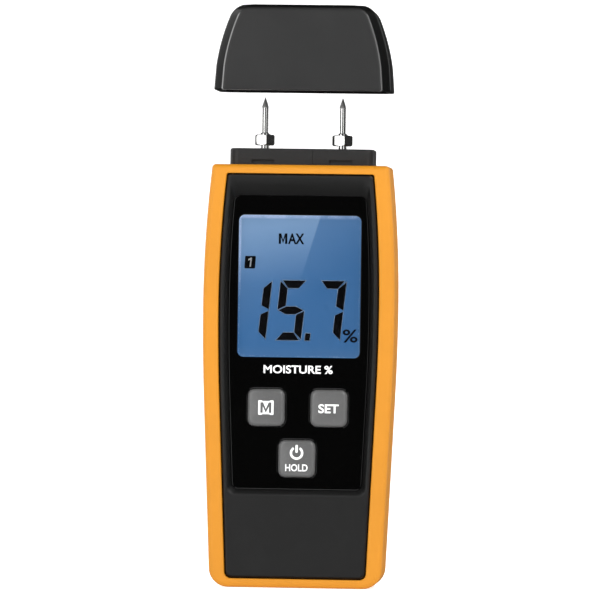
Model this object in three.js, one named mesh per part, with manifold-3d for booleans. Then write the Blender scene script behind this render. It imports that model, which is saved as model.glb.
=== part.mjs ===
// Pin-type moisture meter, in millimetres, +Z up along the case, front face towards -Y.
// The case stands on its flat bottom end, with the origin at the middle of that end.
// The protective cap is lifted clear of the electrodes, and slides back down over them.

import * as THREE from 'three';
import { LoftGeometry } from 'three/addons/geometries/LoftGeometry.js';
import { mergeVertices } from 'three/addons/utils/BufferGeometryUtils.js';
import Module from 'manifold-3d';

// ---------------------------------------------------------------- driving dimensions

const GAP = 0.3; // running and assembly gap between neighbours

// Case outline, seen from the front: widest at WAIST_Z, straight taper below, arc above
const CASE_HEIGHT = 137.5;
const CASE_HALF_WIDTH = 31.25;
const WAIST_Z = 92;
const LOWER_ARC_RADIUS = 700;
const LOWER_ARC_LENGTH = 30;
const UPPER_ARC_RADIUS = 415;
const FOOT_CORNER_RADIUS = 6.3;
const SHOULDER_CORNER_RADIUS = 1.3;

// Depth of the case, from the front lip to the back of the rear cover
const FRONT_Y = -15;
const BACK_Y = 15;
const EDGE_ROUND = 1.2;

// Orange surround
const FRAME_BACK_Y = 9;
const FRAME_WALL = 2.2;
const LIP_SIDE = 5.1;
const LIP_END = 2.9;
const LIP_DEPTH = 3;

// Black front case and the recess for the panel
const FRONT_CASE_Y = -14.6;
const FRONT_CASE_BACK_Y = -9.7;
const RECESS_DEPTH = 2.2;
const RECESS_RIM = 1.1;
const RECESS_BOTTOM_Z = 29.8;
const RECESS_TOP_Z = 133.9;
const PANEL_SEAT_DEPTH = 3.3;

// Gloss panel and its window
const PANEL_BOTTOM_Z = 32;
const PANEL_TOP_Z = 127.4;
const PANEL_HALF_WIDTH = 22.9;
const PANEL_THICK = 1.2;
const PANEL_FRONT_Y = FRONT_CASE_Y + RECESS_DEPTH - 0.2;
const WINDOW_WIDTH = 39.8;
const WINDOW_BOTTOM_Z = 74.9;
const WINDOW_TOP_Z = 121.1;
const WINDOW_CORNER = 1.3;

// Display stack behind the front case
const LCD = { halfWidth: 23, bottom: 70.5, top: 124.5, front: -9.4, thick: 2.6 };
const GUIDE_THICK = 2.3;
const HOLDER_WALL = 1.2;
const BOARD = { halfWidth: 24, bottom: 29, top: 125.5, front: -3.6, thick: 1.6 };
const CONTROLLER = { width: 12, height: 12, thick: 1.6, x: 8, z: 100 };
const AMPLIFIER = { width: 5, height: 6, thick: 1.5, x: 8, z: 84 };
const SOUNDER = { radius: 6, height: 6, port: 1, x: -13, z: 84 };

// Keys
const KEY_SIZE = 12.1;
const KEY_CORNER = 2.25;
const KEY_PROUD_Y = -14.5;
const KEY_SPACING = 20.4;
const UPPER_KEY_Z = 58.5;
const LOWER_KEY_Z = 42;
const KEYS = [
  { name: 'mode', x: -KEY_SPACING / 2, z: UPPER_KEY_Z },
  { name: 'set', x: KEY_SPACING / 2, z: UPPER_KEY_Z },
  { name: 'hold', x: 0, z: LOWER_KEY_Z },
];
const KEY_BACK_Y = -9.4;
const KEY_FLANGE = 0.9;
const KEY_FLANGE_SIZE = 14;
const KEY_TRAVEL = 0.5;
const SWITCH_SIZE = 6;
const SWITCH_FRONT_Y = -7;
const PLUNGER_RADIUS = 1.75;

// Electrodes, 25.4 mm apart, and the head that carries them
const PIN_X = 12.7;
const HEAD_Y = -1.5;
const HEAD = { width: 47.2, depth: 15, top: 142.9, corner: 3, bottom: 130.3 };
const HEAD_FLANGE = { width: 52, depth: 14, bottom: 133.9, top: 135 };
const HEAD_BASE = { halfWidth: 18.5, halfDepth: 6 };
const HEAD_SLOT = { width: 7.5, height: 1.2, depth: 0.8, bottom: 138 };
const PIN_RADIUS = 1.1;
const PIN_TAPER_Z = 156.5;
const PIN_TIP_Z = 159.9;
const HEX = { across: 6.93, bottom: 144, top: 147.5, shoulder: 2.6 }; // across its corners
const STUD = { radius: 1.5, bottom: 134 };
const HEX_TURN = { left: 11, right: 18 }; // degrees each collar has ended up turned when screwed home
const SOCKET = { radius: 3, top: 142.6, tail: 1.5, tailBottom: 126.4 };
const TERMINAL = { radius: 3.2, top: 130, thick: 0.8, reach: 9 };
const NUT = { across: 6.93, top: 128.9, height: 2.3 };
const LEAD_RADIUS = 0.65;

// Protective cap
const CAP_LIFT = 23.9;
const CAP_BOTTOM = CASE_HEIGHT + GAP + CAP_LIFT;
const CAP_HEIGHT = 28;
const CAP_WALL = 2.3;
const CAP_HALF_DEPTH = 13.6;
const CAP_CHAMFER = 3.2;
const CAP_ROUND = 2.4;
const CAP_SHOULDER = { halfWidth: 28.9, height: 8, drop: 0.55, radius: 62, lean: 0.13 };
const CAP_DRAFT = 0.05;
const CAP_RIB = { places: [-5.5, 2.5], halfThick: 0.6, outerX: 27.2, height: 8 };

// Battery compartment for three AAA cells
const CELL = { radius: 5.25, body: 43.4, nub: 1.1, nubRadius: 1.9, pitch: 11, y: 5.7 };
const SPRING = { height: 5.7, wire: 0.3, wide: 3.9, narrow: 2.4, turns: 4 };
const CONTACT = { width: 8, thick: 0.4 };
const TRAY = { halfWidth: 17.6, bottom: 9.6, top: 62.2, floor: 0, wall: 1.2 };
const DOOR = { halfWidth: 17, bottom: 10.2, top: 61.6, thick: 2.2, bevel: 1.4 };
const TONGUE = { x: 10, width: 5, thick: 1.2, reach: 2.5 };
const DOOR_FOAM = { halfWidth: 15, thick: 1.2, margin: 4 };

// Screws, as [x, z] places
const CASE_SCREWS = [[-22.3, 8.2], [22.3, 8.2], [-23, 130.6], [23, 130.6]];
const BOARD_SCREWS = [[-21, 33], [21, 33], [-21, 66.3], [21, 66.3]];
const CASE_PILLAR_TOP_Y = 5.5;
const CASE_PILLAR = { radius: 3, bore: 1.6, cover: 3.3 };
const BOARD_PILLAR = { radius: 2.2, bore: 1.1 };
const CASE_SCREW = { head: 2.4, headThick: 1.7, shank: 1.2, length: 17 };
const BOARD_SCREW = { head: 1.9, headThick: 1.2, shank: 0.8, length: 5.5 };
const SCREW_SEAT_Y = BACK_Y - 2.6;

// ---------------------------------------------------------------- materials

const finish = (color, roughness, metalness = 0) => ({ color, roughness, metalness });
const ORANGE = finish(0xf2a23f, 0.55);
const BLACK = finish(0x2b2b2b, 0.7);
const GLOSS_BLACK = finish(0x060606, 0.08);
const KEY_GREY = finish(0x6f6f6f, 0.45);
const CLEAR = finish(0xcfdde8, 0.05);
const LCD_BLUE = finish(0x4478b0, 0.3);
const WHITE = finish(0xe8e8e2, 0.5);
const RUBBER_GREY = finish(0x3a3a40, 0.85);
const BOARD_GREEN = finish(0x1d5a35, 0.5);
const CHIP = finish(0x161616, 0.5);
const STEEL = finish(0xc9c9c9, 0.2, 1);
const BRASS = finish(0xc9a24a, 0.3, 1);
const FOAM = finish(0x3b3b3b, 0.95);
const CELL_WRAP = finish(0x36506e, 0.35);
const RED_LEAD = finish(0xa02a20, 0.5);
const BLUE_LEAD = finish(0x24408a, 0.5);

// ---------------------------------------------------------------- joins and cuts

const wasm = await Module();
wasm.setup();

function toSolid(geometry) {
  const bare = new THREE.BufferGeometry().copy(geometry);
  bare.deleteAttribute('normal');
  bare.deleteAttribute('uv');
  const merged = mergeVertices(bare, 1e-4);
  return new wasm.Manifold(new wasm.Mesh({
    numProp: 3,
    vertProperties: Float32Array.from(merged.attributes.position.array),
    triVerts: Uint32Array.from(merged.index.array),
  }));
}

function toGeometry(solid) {
  const mesh = solid.getMesh();
  const geometry = new THREE.BufferGeometry();
  geometry.setAttribute('position', new THREE.BufferAttribute(mesh.vertProperties, 3));
  geometry.setIndex(new THREE.BufferAttribute(mesh.triVerts, 1));
  return geometry;
}

function join(first, ...others) {
  return toGeometry(others.reduce((sum, next) => sum.add(toSolid(next)), toSolid(first)));
}

function cut(base, ...tools) {
  return toGeometry(tools.reduce((rest, tool) => rest.subtract(toSolid(tool)), toSolid(base)));
}

// ---------------------------------------------------------------- outlines and basic solids

// Half width of the case at a height
function flank(z) {
  if (z >= WAIST_Z) return CASE_HALF_WIDTH - (z - WAIST_Z) ** 2 / (2 * UPPER_ARC_RADIUS);
  const down = WAIST_Z - z;
  const arc = Math.min(down, LOWER_ARC_LENGTH);
  const straight = Math.max(down - LOWER_ARC_LENGTH, 0);
  const slope = LOWER_ARC_LENGTH / LOWER_ARC_RADIUS;
  return CASE_HALF_WIDTH - arc ** 2 / (2 * LOWER_ARC_RADIUS) - straight * slope;
}

// Case outline moved in by `side` at the flanks, between two heights, with rounded corners.
// Points run anticlockwise as [x, z], and their number does not change with the sizes.
function outline(side, bottom, top, footRadius, shoulderRadius) {
  const half = [];
  const cornerSteps = 5;
  const flankSteps = 12;
  const footX = flank(bottom + footRadius) - side;
  const shoulderX = flank(top - shoulderRadius) - side;
  for (let i = 0; i <= cornerSteps; i += 1) {
    const turn = (i / cornerSteps) * Math.PI / 2;
    half.push([
      footX - footRadius * (1 - Math.sin(turn)),
      bottom + footRadius * (1 - Math.cos(turn)),
    ]);
  }
  for (let i = 1; i < flankSteps; i += 1) {
    const z = bottom + footRadius + (top - shoulderRadius - bottom - footRadius) * (i / flankSteps);
    half.push([flank(z) - side, z]);
  }
  for (let i = 0; i <= cornerSteps; i += 1) {
    const turn = (i / cornerSteps) * Math.PI / 2;
    half.push([
      shoulderX - shoulderRadius * (1 - Math.cos(turn)),
      top - shoulderRadius * (1 - Math.sin(turn)),
    ]);
  }
  const mirrored = half.map(([x, z]) => [-x, z]).reverse();
  return [...half, ...mirrored];
}

// Rounded rectangle centred on (x, z), as the same kind of point list
function rectangle(width, height, radius, x = 0, z = 0, steps = 3) {
  const points = [];
  const corners = [[1, -1, -90], [1, 1, 0], [-1, 1, 90], [-1, -1, 180]];
  for (const [sx, sz, start] of corners) {
    for (let i = 0; i <= steps; i += 1) {
      const turn = THREE.MathUtils.degToRad(start + 90 * (i / steps));
      points.push([
        x + sx * (width / 2 - radius) + radius * Math.cos(turn),
        z + sz * (height / 2 - radius) + radius * Math.sin(turn),
      ]);
    }
  }
  return points;
}

// Solid skinned through outlines that lie at rising Y
function layers(...sections) {
  const rings = sections.map(([points, y]) => (
    points.map(([x, z]) => new THREE.Vector3(x, y, z)).reverse()
  ));
  return new LoftGeometry(rings, { capStart: true, capEnd: true });
}

// Straight plate between two Y levels
function plate(points, y0, y1) {
  return layers([points, y0], [points, y1]);
}

// Upright solid skinned through outlines that lie at rising Z, with y in place of z in the points
function tower(...sections) {
  const rings = sections.map(([points, z]) => points.map(([x, y]) => new THREE.Vector3(x, y, z)));
  return new LoftGeometry(rings, { capStart: true, capEnd: true });
}

function block(x0, x1, y0, y1, z0, z1) {
  const geometry = new THREE.BoxGeometry(x1 - x0, y1 - y0, z1 - z0);
  return geometry.translate((x0 + x1) / 2, (y0 + y1) / 2, (z0 + z1) / 2);
}

// Round solid along Y
function barrel(radius, y0, y1, x, z, sides = 20) {
  return new THREE.CylinderGeometry(radius, radius, y1 - y0, sides).translate(x, (y0 + y1) / 2, z);
}

// Turned solid along Z from [radius, z] pairs, which start and end on the axis
function turned(profile, x, y, sides = 20) {
  const geometry = new THREE.LatheGeometry(profile.map(([r, z]) => new THREE.Vector2(r, z)), sides);
  return geometry.rotateX(Math.PI / 2).translate(x, y, 0);
}

function sheath(radius, bore, z0, z1, x, y, sides = 20) {
  const rings = [[bore, z0], [radius, z0], [radius, z1], [bore, z1], [bore, z0]];
  return turned(rings, x, y, sides);
}

// Round solid that follows a smooth path
function wire(points, radius) {
  const circle = new THREE.Shape().absarc(0, 0, radius, 0, Math.PI * 2);
  const path = new THREE.CatmullRomCurve3(points.map((p) => new THREE.Vector3(...p)));
  return new THREE.ExtrudeGeometry(circle, { steps: 14, curveSegments: 2, extrudePath: path });
}

// ---------------------------------------------------------------- assembly

const meter = new THREE.Group();

function place(group, name, look, geometry, x = 0, y = 0, z = 0) {
  const mesh = new THREE.Mesh(geometry, new THREE.MeshStandardMaterial(look));
  mesh.name = name;
  mesh.position.set(x, y, z);
  group.add(mesh);
}

// ---------------------------------------------------------------- casing

function orangeFrame() {
  const round = EDGE_ROUND;
  const outer = (inset) => outline(inset, inset, CASE_HEIGHT - inset,
    FOOT_CORNER_RADIUS - inset, SHOULDER_CORNER_RADIUS - inset * 0.5);
  const body = layers(
    [outer(round), FRONT_Y],
    [outer(round * 0.35), FRONT_Y + round * 0.35],
    [outer(0), FRONT_Y + round],
    [outer(0), FRAME_BACK_Y - 0.5],
    [outer(0.5), FRAME_BACK_Y],
  );
  const cavity = plate(
    outline(FRAME_WALL, FRAME_WALL, CASE_HEIGHT - FRAME_WALL, 4, 0.8),
    FRONT_Y + LIP_DEPTH, FRAME_BACK_Y + 1,
  );
  const mouth = plate(
    outline(LIP_SIDE, LIP_END, CASE_HEIGHT - LIP_END, 2.2, 0.8),
    FRONT_Y - 1, FRONT_Y + LIP_DEPTH + 1,
  );
  const hole = rectangle(HEAD.width + 2 * GAP, HEAD.depth + 2 * GAP, HEAD.corner + GAP, 0, HEAD_Y);
  const neckHole = tower([hole, CASE_HEIGHT - 4], [hole, CASE_HEIGHT + 1]);
  return cut(body, cavity, mouth, neckHole);
}

// Half width of the gloss panel follows the flank at a fixed distance
const panelOutline = (grow, radius) => outline(
  CASE_HALF_WIDTH - PANEL_HALF_WIDTH - grow, PANEL_BOTTOM_Z - grow, PANEL_TOP_Z + grow, radius, radius,
);

function frontCase() {
  const side = LIP_SIDE + GAP;
  const plug = plate(outline(side, LIP_END + GAP, CASE_HEIGHT - LIP_END - GAP, 1.9, 0.6),
    FRONT_CASE_Y, FRONT_Y + LIP_DEPTH + GAP);
  const wall = FRAME_WALL + GAP;
  const flange = plate(outline(wall, wall, CASE_HEIGHT - wall, 3.7, 0.6),
    FRONT_Y + LIP_DEPTH + GAP, FRONT_CASE_BACK_Y);
  const floorY = FRONT_CASE_Y + RECESS_DEPTH;
  const recess = layers(
    [outline(side + RECESS_RIM - 0.6, RECESS_BOTTOM_Z - 0.4, RECESS_TOP_Z + 0.4, 2, 2), FRONT_CASE_Y - 0.4],
    [outline(side + RECESS_RIM, RECESS_BOTTOM_Z, RECESS_TOP_Z, 2, 2), FRONT_CASE_Y],
    [panelOutline(GAP, 2), floorY],
    [panelOutline(GAP, 2), FRONT_CASE_Y + PANEL_SEAT_DEPTH],
  );
  const windowHole = plate(
    rectangle(WINDOW_WIDTH + 1, WINDOW_TOP_Z - WINDOW_BOTTOM_Z + 1, WINDOW_CORNER,
      0, (WINDOW_TOP_Z + WINDOW_BOTTOM_Z) / 2),
    FRONT_Y, 0,
  );
  const keyHoles = KEYS.map(({ x, z }) => plate(
    rectangle(KEY_SIZE + 2 * GAP, KEY_SIZE + 2 * GAP, KEY_CORNER + GAP, x, z), FRONT_Y, 0,
  ));
  const pillarRoot = FRONT_CASE_BACK_Y - 0.5;
  const casePillars = CASE_SCREWS.map(([x, z]) => barrel(
    CASE_PILLAR.radius, pillarRoot, CASE_PILLAR_TOP_Y, x, z,
  ));
  const boardPillars = BOARD_SCREWS.map(([x, z]) => barrel(
    BOARD_PILLAR.radius, pillarRoot, BOARD.front - GAP, x, z, 14,
  ));
  const caseBores = CASE_SCREWS.map(([x, z]) => barrel(
    CASE_PILLAR.bore, pillarRoot + 3.2, CASE_PILLAR_TOP_Y + 0.5, x, z, 12,
  ));
  const boardBores = BOARD_SCREWS.map(([x, z]) => barrel(
    BOARD_PILLAR.bore, pillarRoot + 1.6, BOARD.front + 0.6, x, z, 10,
  ));
  const shell = join(plug, flange);
  const opened = cut(shell, recess, windowHole, ...keyHoles);
  return cut(join(opened, ...casePillars, ...boardPillars), ...caseBores, ...boardBores);
}

function glossPanel() {
  const face = layers(
    [panelOutline(-0.3, 1.7), PANEL_FRONT_Y],
    [panelOutline(0, 2), PANEL_FRONT_Y + 0.3],
    [panelOutline(0, 2), PANEL_FRONT_Y + PANEL_THICK],
  );
  const windowHole = plate(
    rectangle(WINDOW_WIDTH, WINDOW_TOP_Z - WINDOW_BOTTOM_Z, WINDOW_CORNER,
      0, (WINDOW_TOP_Z + WINDOW_BOTTOM_Z) / 2),
    FRONT_Y, 0,
  );
  const keyHoles = KEYS.map(({ x, z }) => plate(
    rectangle(KEY_SIZE + 2 * GAP, KEY_SIZE + 2 * GAP, KEY_CORNER + GAP, x, z), FRONT_Y, 0,
  ));
  return cut(face, windowHole, ...keyHoles);
}

function displayWindow() {
  const height = WINDOW_TOP_Z - WINDOW_BOTTOM_Z;
  const middle = (WINDOW_TOP_Z + WINDOW_BOTTOM_Z) / 2;
  return plate(rectangle(WINDOW_WIDTH - 2 * GAP, height - 2 * GAP, WINDOW_CORNER - GAP, 0, middle),
    PANEL_FRONT_Y + 0.1, PANEL_FRONT_Y + PANEL_THICK);
}

function rearCover() {
  const shell = (inset, y) => [outline(inset, inset, CASE_HEIGHT - inset,
    FOOT_CORNER_RADIUS - inset * 0.5, SHOULDER_CORNER_RADIUS + 1), y];
  const body = layers(
    shell(0.6, FRAME_BACK_Y + GAP),
    shell(0.6, BACK_Y - 3.5),
    shell(1.0, BACK_Y - 1.7),
    shell(2.1, BACK_Y - 0.5),
    shell(3.6, BACK_Y),
  );
  const wall = FRAME_WALL + GAP;
  const skirt = plate(outline(wall, wall, CASE_HEIGHT - wall, 3.7, 0.6),
    FRAME_BACK_Y - 3, FRAME_BACK_Y + GAP + 0.5);
  const hollow = plate(outline(4.6, 4.6, CASE_HEIGHT - 4.6, 2.5, 1), FRAME_BACK_Y - 4, BACK_Y - 2.2);
  const pillars = CASE_SCREWS.map(([x, z]) => barrel(
    CASE_PILLAR.cover, CASE_PILLAR_TOP_Y + GAP, BACK_Y - 2, x, z,
  ));
  const tray = block(-TRAY.halfWidth - TRAY.wall, TRAY.halfWidth + TRAY.wall, TRAY.floor - 1,
    BACK_Y - 2, TRAY.bottom - TRAY.wall, TRAY.top + TRAY.wall);
  const trayHollow = block(-TRAY.halfWidth, TRAY.halfWidth, TRAY.floor, BACK_Y - DOOR.thick,
    TRAY.bottom, TRAY.top);
  const doorHole = block(-DOOR.halfWidth - GAP, DOOR.halfWidth + GAP, BACK_Y - 3, BACK_Y + 1,
    DOOR.bottom - GAP, DOOR.top + GAP);
  const tongueSlots = [-1, 1].map((side) => block(
    side * TONGUE.x - TONGUE.width / 2 - 0.5, side * TONGUE.x + TONGUE.width / 2 + 0.5,
    BACK_Y - 5.5, BACK_Y - DOOR.thick, TRAY.bottom - 2, TRAY.bottom + 1,
  ));
  const screwHoles = CASE_SCREWS.flatMap(([x, z]) => [
    barrel(CASE_PILLAR.bore, CASE_PILLAR_TOP_Y - 0.5, BACK_Y + 1, x, z, 12),
    barrel(CASE_SCREW.head + 0.4, SCREW_SEAT_Y, BACK_Y + 1, x, z, 16),
  ]);
  const opened = cut(join(body, skirt), hollow);
  return cut(join(opened, ...pillars, tray), trayHollow, doorHole, ...tongueSlots, ...screwHoles);
}

// The lid's lower outer edge is bevelled so that it can tip out about its two tongues
function batteryDoor() {
  const inner = BACK_Y - DOOR.thick;
  const profile = new THREE.Shape([
    new THREE.Vector2(inner, DOOR.bottom),
    new THREE.Vector2(BACK_Y - DOOR.bevel, DOOR.bottom),
    new THREE.Vector2(BACK_Y, DOOR.bottom + DOOR.bevel),
    new THREE.Vector2(BACK_Y, DOOR.top),
    new THREE.Vector2(inner, DOOR.top),
  ]);
  const lid = new THREE.ExtrudeGeometry(profile, { depth: 2 * DOOR.halfWidth, bevelEnabled: false });
  lid.rotateY(Math.PI / 2).rotateX(Math.PI / 2).translate(-DOOR.halfWidth, 0, 0);
  const tongueBack = inner - 0.5;
  const tongues = [-1, 1].flatMap((side) => {
    const x0 = side * TONGUE.x - TONGUE.width / 2;
    const x1 = x0 + TONGUE.width;
    const front = tongueBack - TONGUE.thick;
    return [
      block(x0, x1, front, tongueBack, DOOR.bottom - TONGUE.reach, DOOR.bottom + 2.5),
      block(x0, x1, front + 0.2, inner + 0.3, DOOR.bottom + 0.8, DOOR.bottom + 2.5),
    ];
  });
  const catchFinger = block(-4, 4, inner - 2, inner + 0.3, DOOR.top - 1.6, DOOR.top - 0.2);
  return join(lid, ...tongues, catchFinger);
}

function doorFoam() {
  const back = BACK_Y - DOOR.thick - GAP;
  return block(-DOOR_FOAM.halfWidth, DOOR_FOAM.halfWidth, back - DOOR_FOAM.thick, back,
    DOOR.bottom + DOOR_FOAM.margin, DOOR.top - DOOR_FOAM.margin);
}

// ---------------------------------------------------------------- display stack and board

function lcdGlass() {
  return block(-LCD.halfWidth, LCD.halfWidth, LCD.front, LCD.front + LCD.thick,
    LCD.bottom, LCD.top);
}

function backlightGuide() {
  const front = LCD.front + LCD.thick + GAP;
  return block(-LCD.halfWidth + 1, LCD.halfWidth - 1, front, front + GUIDE_THICK,
    LCD.bottom + 5, LCD.top - 1);
}

function zebraStrip() {
  return block(-LCD.halfWidth + 3, LCD.halfWidth - 3, LCD.front + LCD.thick + GAP, BOARD.front - GAP,
    LCD.bottom + 0.8, LCD.bottom + 3.2);
}

function lcdHolder() {
  const x = LCD.halfWidth + GAP;
  const low = LCD.bottom - GAP;
  const high = LCD.top + GAP;
  const back = BOARD.front - GAP;
  const outer = block(-x - HOLDER_WALL, x + HOLDER_WALL, LCD.front, back,
    low - HOLDER_WALL, high + HOLDER_WALL);
  return cut(outer, block(-x, x, LCD.front - 1, back + 1, low, high));
}

function mainBoard() {
  const sheet = block(-BOARD.halfWidth, BOARD.halfWidth, BOARD.front, BOARD.front + BOARD.thick,
    BOARD.bottom, BOARD.top);
  const holes = BOARD_SCREWS.map(([x, z]) => barrel(1.4, BOARD.front - 1, 0, x, z, 12));
  return cut(sheet, ...holes);
}

const boardBack = BOARD.front + BOARD.thick + GAP;

function chip({ width, height, thick, x, z }) {
  return block(x - width / 2, x + width / 2, boardBack, boardBack + thick,
    z - height / 2, z + height / 2);
}

function sounder() {
  const { radius, height, port, x, z } = SOUNDER;
  const can = barrel(radius, boardBack, boardBack + height, x, z, 28);
  return cut(can, barrel(port, boardBack + height - 2, boardBack + height + 1, x, z, 12));
}

// ---------------------------------------------------------------- keys

// Pillowed cap with a flange behind the panel
function keyCap({ x, z }) {
  const face = (shrink, y) => [
    rectangle(KEY_SIZE - 2 * shrink, KEY_SIZE - 2 * shrink, KEY_CORNER - shrink * 0.4, x, z), y,
  ];
  const button = layers(
    face(2.6, KEY_PROUD_Y),
    face(1.1, KEY_PROUD_Y + 0.15),
    face(0.4, KEY_PROUD_Y + 0.5),
    face(0, KEY_PROUD_Y + 1.1),
    face(0, KEY_BACK_Y + 0.2),
  );
  const flange = plate(rectangle(KEY_FLANGE_SIZE, KEY_FLANGE_SIZE, 2, x, z),
    KEY_BACK_Y, KEY_BACK_Y + KEY_FLANGE);
  return join(button, flange);
}

function switchBody({ x, z }) {
  const half = SWITCH_SIZE / 2;
  const body = block(x - half, x + half, SWITCH_FRONT_Y, BOARD.front - GAP, z - half, z + half);
  return cut(body, barrel(PLUNGER_RADIUS + GAP, SWITCH_FRONT_Y - 1, SWITCH_FRONT_Y + 1.5, x, z, 16));
}

function switchPlunger({ x, z }) {
  const front = KEY_BACK_Y + KEY_FLANGE + GAP;
  return barrel(PLUNGER_RADIUS, front, SWITCH_FRONT_Y + 1.5 - GAP - KEY_TRAVEL, x, z, 16);
}

// ---------------------------------------------------------------- head, electrodes and leads

function electrodeHead() {
  const neck = (shrink, z) => [
    rectangle(HEAD.width - 2 * shrink, HEAD.depth - 2 * shrink, HEAD.corner - shrink, 0, HEAD_Y), z,
  ];
  const body = tower(neck(0, HEAD_FLANGE.bottom + 0.5), neck(0, HEAD.top - 0.6), neck(0.6, HEAD.top));
  const flangeHalf = HEAD_FLANGE.depth / 2;
  const flange = block(-HEAD_FLANGE.width / 2, HEAD_FLANGE.width / 2,
    HEAD_Y - flangeHalf, HEAD_Y + flangeHalf, HEAD_FLANGE.bottom, HEAD_FLANGE.top);
  const { halfWidth, halfDepth } = HEAD_BASE;
  const lower = block(-halfWidth, halfWidth, HEAD_Y - halfDepth, HEAD_Y + halfDepth,
    HEAD.bottom, HEAD_FLANGE.bottom + 0.5);
  const bores = [-PIN_X, PIN_X].flatMap((x) => [
    turned([[0, HEAD.bottom - 1], [SOCKET.radius + GAP, HEAD.bottom - 1],
      [SOCKET.radius + GAP, HEAD.top + 1], [0, HEAD.top + 1]], x, HEAD_Y),
  ]);
  const slots = [-PIN_X, PIN_X].flatMap((x) => [-1, 1].map((side) => {
    const face = HEAD_Y + side * HEAD.depth / 2;
    return block(x - HEAD_SLOT.width / 2, x + HEAD_SLOT.width / 2, face - HEAD_SLOT.depth,
      face + HEAD_SLOT.depth, HEAD_SLOT.bottom, HEAD_SLOT.bottom + HEAD_SLOT.height);
  }));
  return cut(join(body, flange, lower), ...bores, ...slots);
}

function hexagon(across, z0, z1, turn) {
  const prism = new THREE.CylinderGeometry(across / 2, across / 2, z1 - z0, 6);
  return prism.rotateY(turn).rotateX(Math.PI / 2).translate(0, 0, (z0 + z1) / 2);
}

// Needle, hexagon collar and the threaded stud that screws into the socket
function pin(turn) {
  const shaft = turned([
    [0, STUD.bottom],
    [STUD.radius, STUD.bottom],
    [STUD.radius, HEX.bottom + 0.5],
    [HEX.shoulder, HEX.bottom + 0.5],
    [HEX.shoulder, HEX.top - 0.2],
    [PIN_RADIUS + 0.35, HEX.top + 0.5],
    [PIN_RADIUS, HEX.top + 1],
    [PIN_RADIUS, PIN_TAPER_Z],
    [PIN_RADIUS * 0.6, PIN_TAPER_Z + 1.7],
    [0, PIN_TIP_Z],
  ], 0, 0, 16);
  return join(shaft, hexagon(HEX.across, HEX.bottom, HEX.top, turn));
}

function socket() {
  return turned([
    [0, SOCKET.tailBottom],
    [SOCKET.tail, SOCKET.tailBottom],
    [SOCKET.tail, HEAD.bottom],
    [SOCKET.radius, HEAD.bottom],
    [SOCKET.radius, SOCKET.top],
    [STUD.radius + GAP, SOCKET.top],
    [STUD.radius + GAP, STUD.bottom - GAP],
    [0, STUD.bottom - GAP],
  ], 0, 0, 18);
}

// Ring terminal with its crimped tail towards the middle of the head
function terminal(side) {
  const bottom = TERMINAL.top - TERMINAL.thick;
  const ring = sheath(TERMINAL.radius, SOCKET.tail + GAP, bottom, TERMINAL.top, 0, 0);
  const reach = -side * TERMINAL.reach;
  const root = -side * 2.6;
  const tail = block(Math.min(root, reach), Math.max(root, reach), -1, 1, bottom, TERMINAL.top);
  return join(ring, tail);
}

function nut() {
  const bottom = NUT.top - NUT.height;
  const bore = SOCKET.tail + GAP;
  return cut(hexagon(NUT.across, bottom, NUT.top, 0),
    turned([[0, bottom - 1], [bore, bottom - 1], [bore, NUT.top + 1], [0, NUT.top + 1]], 0, 0, 16));
}

// Lead from the terminal's crimp down to its pad on the back of the board
function lead(side) {
  const crimpX = side * (PIN_X - TERMINAL.reach);
  const start = TERMINAL.top - TERMINAL.thick - GAP - LEAD_RADIUS;
  return wire([
    [crimpX + side * 1.5, HEAD_Y, start],
    [crimpX, HEAD_Y + 0.6, start - 0.4],
    [crimpX - side * 0.6, HEAD_Y + 2.2, start - 2.5],
    [crimpX, HEAD_Y + 3.2, start - 8],
    [crimpX + side * 1.5, HEAD_Y + 2.6, start - 14],
  ], LEAD_RADIUS);
}

// ---------------------------------------------------------------- cap

// Half width of the cap at a height above its mouth: a slow draft, then an arc that leans in
function capHalfWidth(height) {
  const top = CAP_SHOULDER;
  const draft = top.halfWidth - top.drop * Math.min(height, top.height) / top.height;
  const above = Math.max(height - top.height, 0);
  return draft - (top.radius - Math.sqrt(top.radius ** 2 - above ** 2)) - above * top.lean;
}

function capSection(height, inset) {
  const crown = Math.max(height - (CAP_HEIGHT - CAP_ROUND), 0);
  const round = CAP_ROUND - Math.sqrt(Math.max(CAP_ROUND ** 2 - crown ** 2, 0));
  const x = capHalfWidth(height) - inset - round;
  const y = CAP_HALF_DEPTH - CAP_DRAFT * height - inset - round;
  const c = CAP_CHAMFER - inset * 0.4;
  const points = [
    [x, -y + c], [x, y - c], [x - c, y], [-x + c, y],
    [-x, y - c], [-x, -y + c], [-x + c, -y], [x - c, -y],
  ];
  return [points, CAP_BOTTOM + height];
}

function pinCap() {
  const crown = [0.25, 0.5, 0.75, 0.92].map((part) => CAP_HEIGHT - CAP_ROUND * (1 - part));
  const outer = tower(...[0, 4, 8, 12, 16, 20, 23, CAP_HEIGHT - CAP_ROUND, ...crown, CAP_HEIGHT]
    .map((height) => capSection(height, 0)));
  const hollow = tower(...[-1, 4, 8, 12, 16, 20, 23, CAP_HEIGHT - CAP_ROUND]
    .map((height) => capSection(height, CAP_WALL)));
  const ribs = [-1, 1].flatMap((side) => CAP_RIB.places.map((y) => {
    const inner = side * (HEAD.width / 2 + 0.4);
    const outerX = side * CAP_RIB.outerX;
    return block(Math.min(inner, outerX), Math.max(inner, outerX),
      y - CAP_RIB.halfThick, y + CAP_RIB.halfThick, CAP_BOTTOM + 1, CAP_BOTTOM + 1 + CAP_RIB.height);
  }));
  return join(cut(outer, hollow), ...ribs);
}

// ---------------------------------------------------------------- cells and fasteners

const cellBottom = TRAY.bottom + GAP + SPRING.height + GAP;

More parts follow.
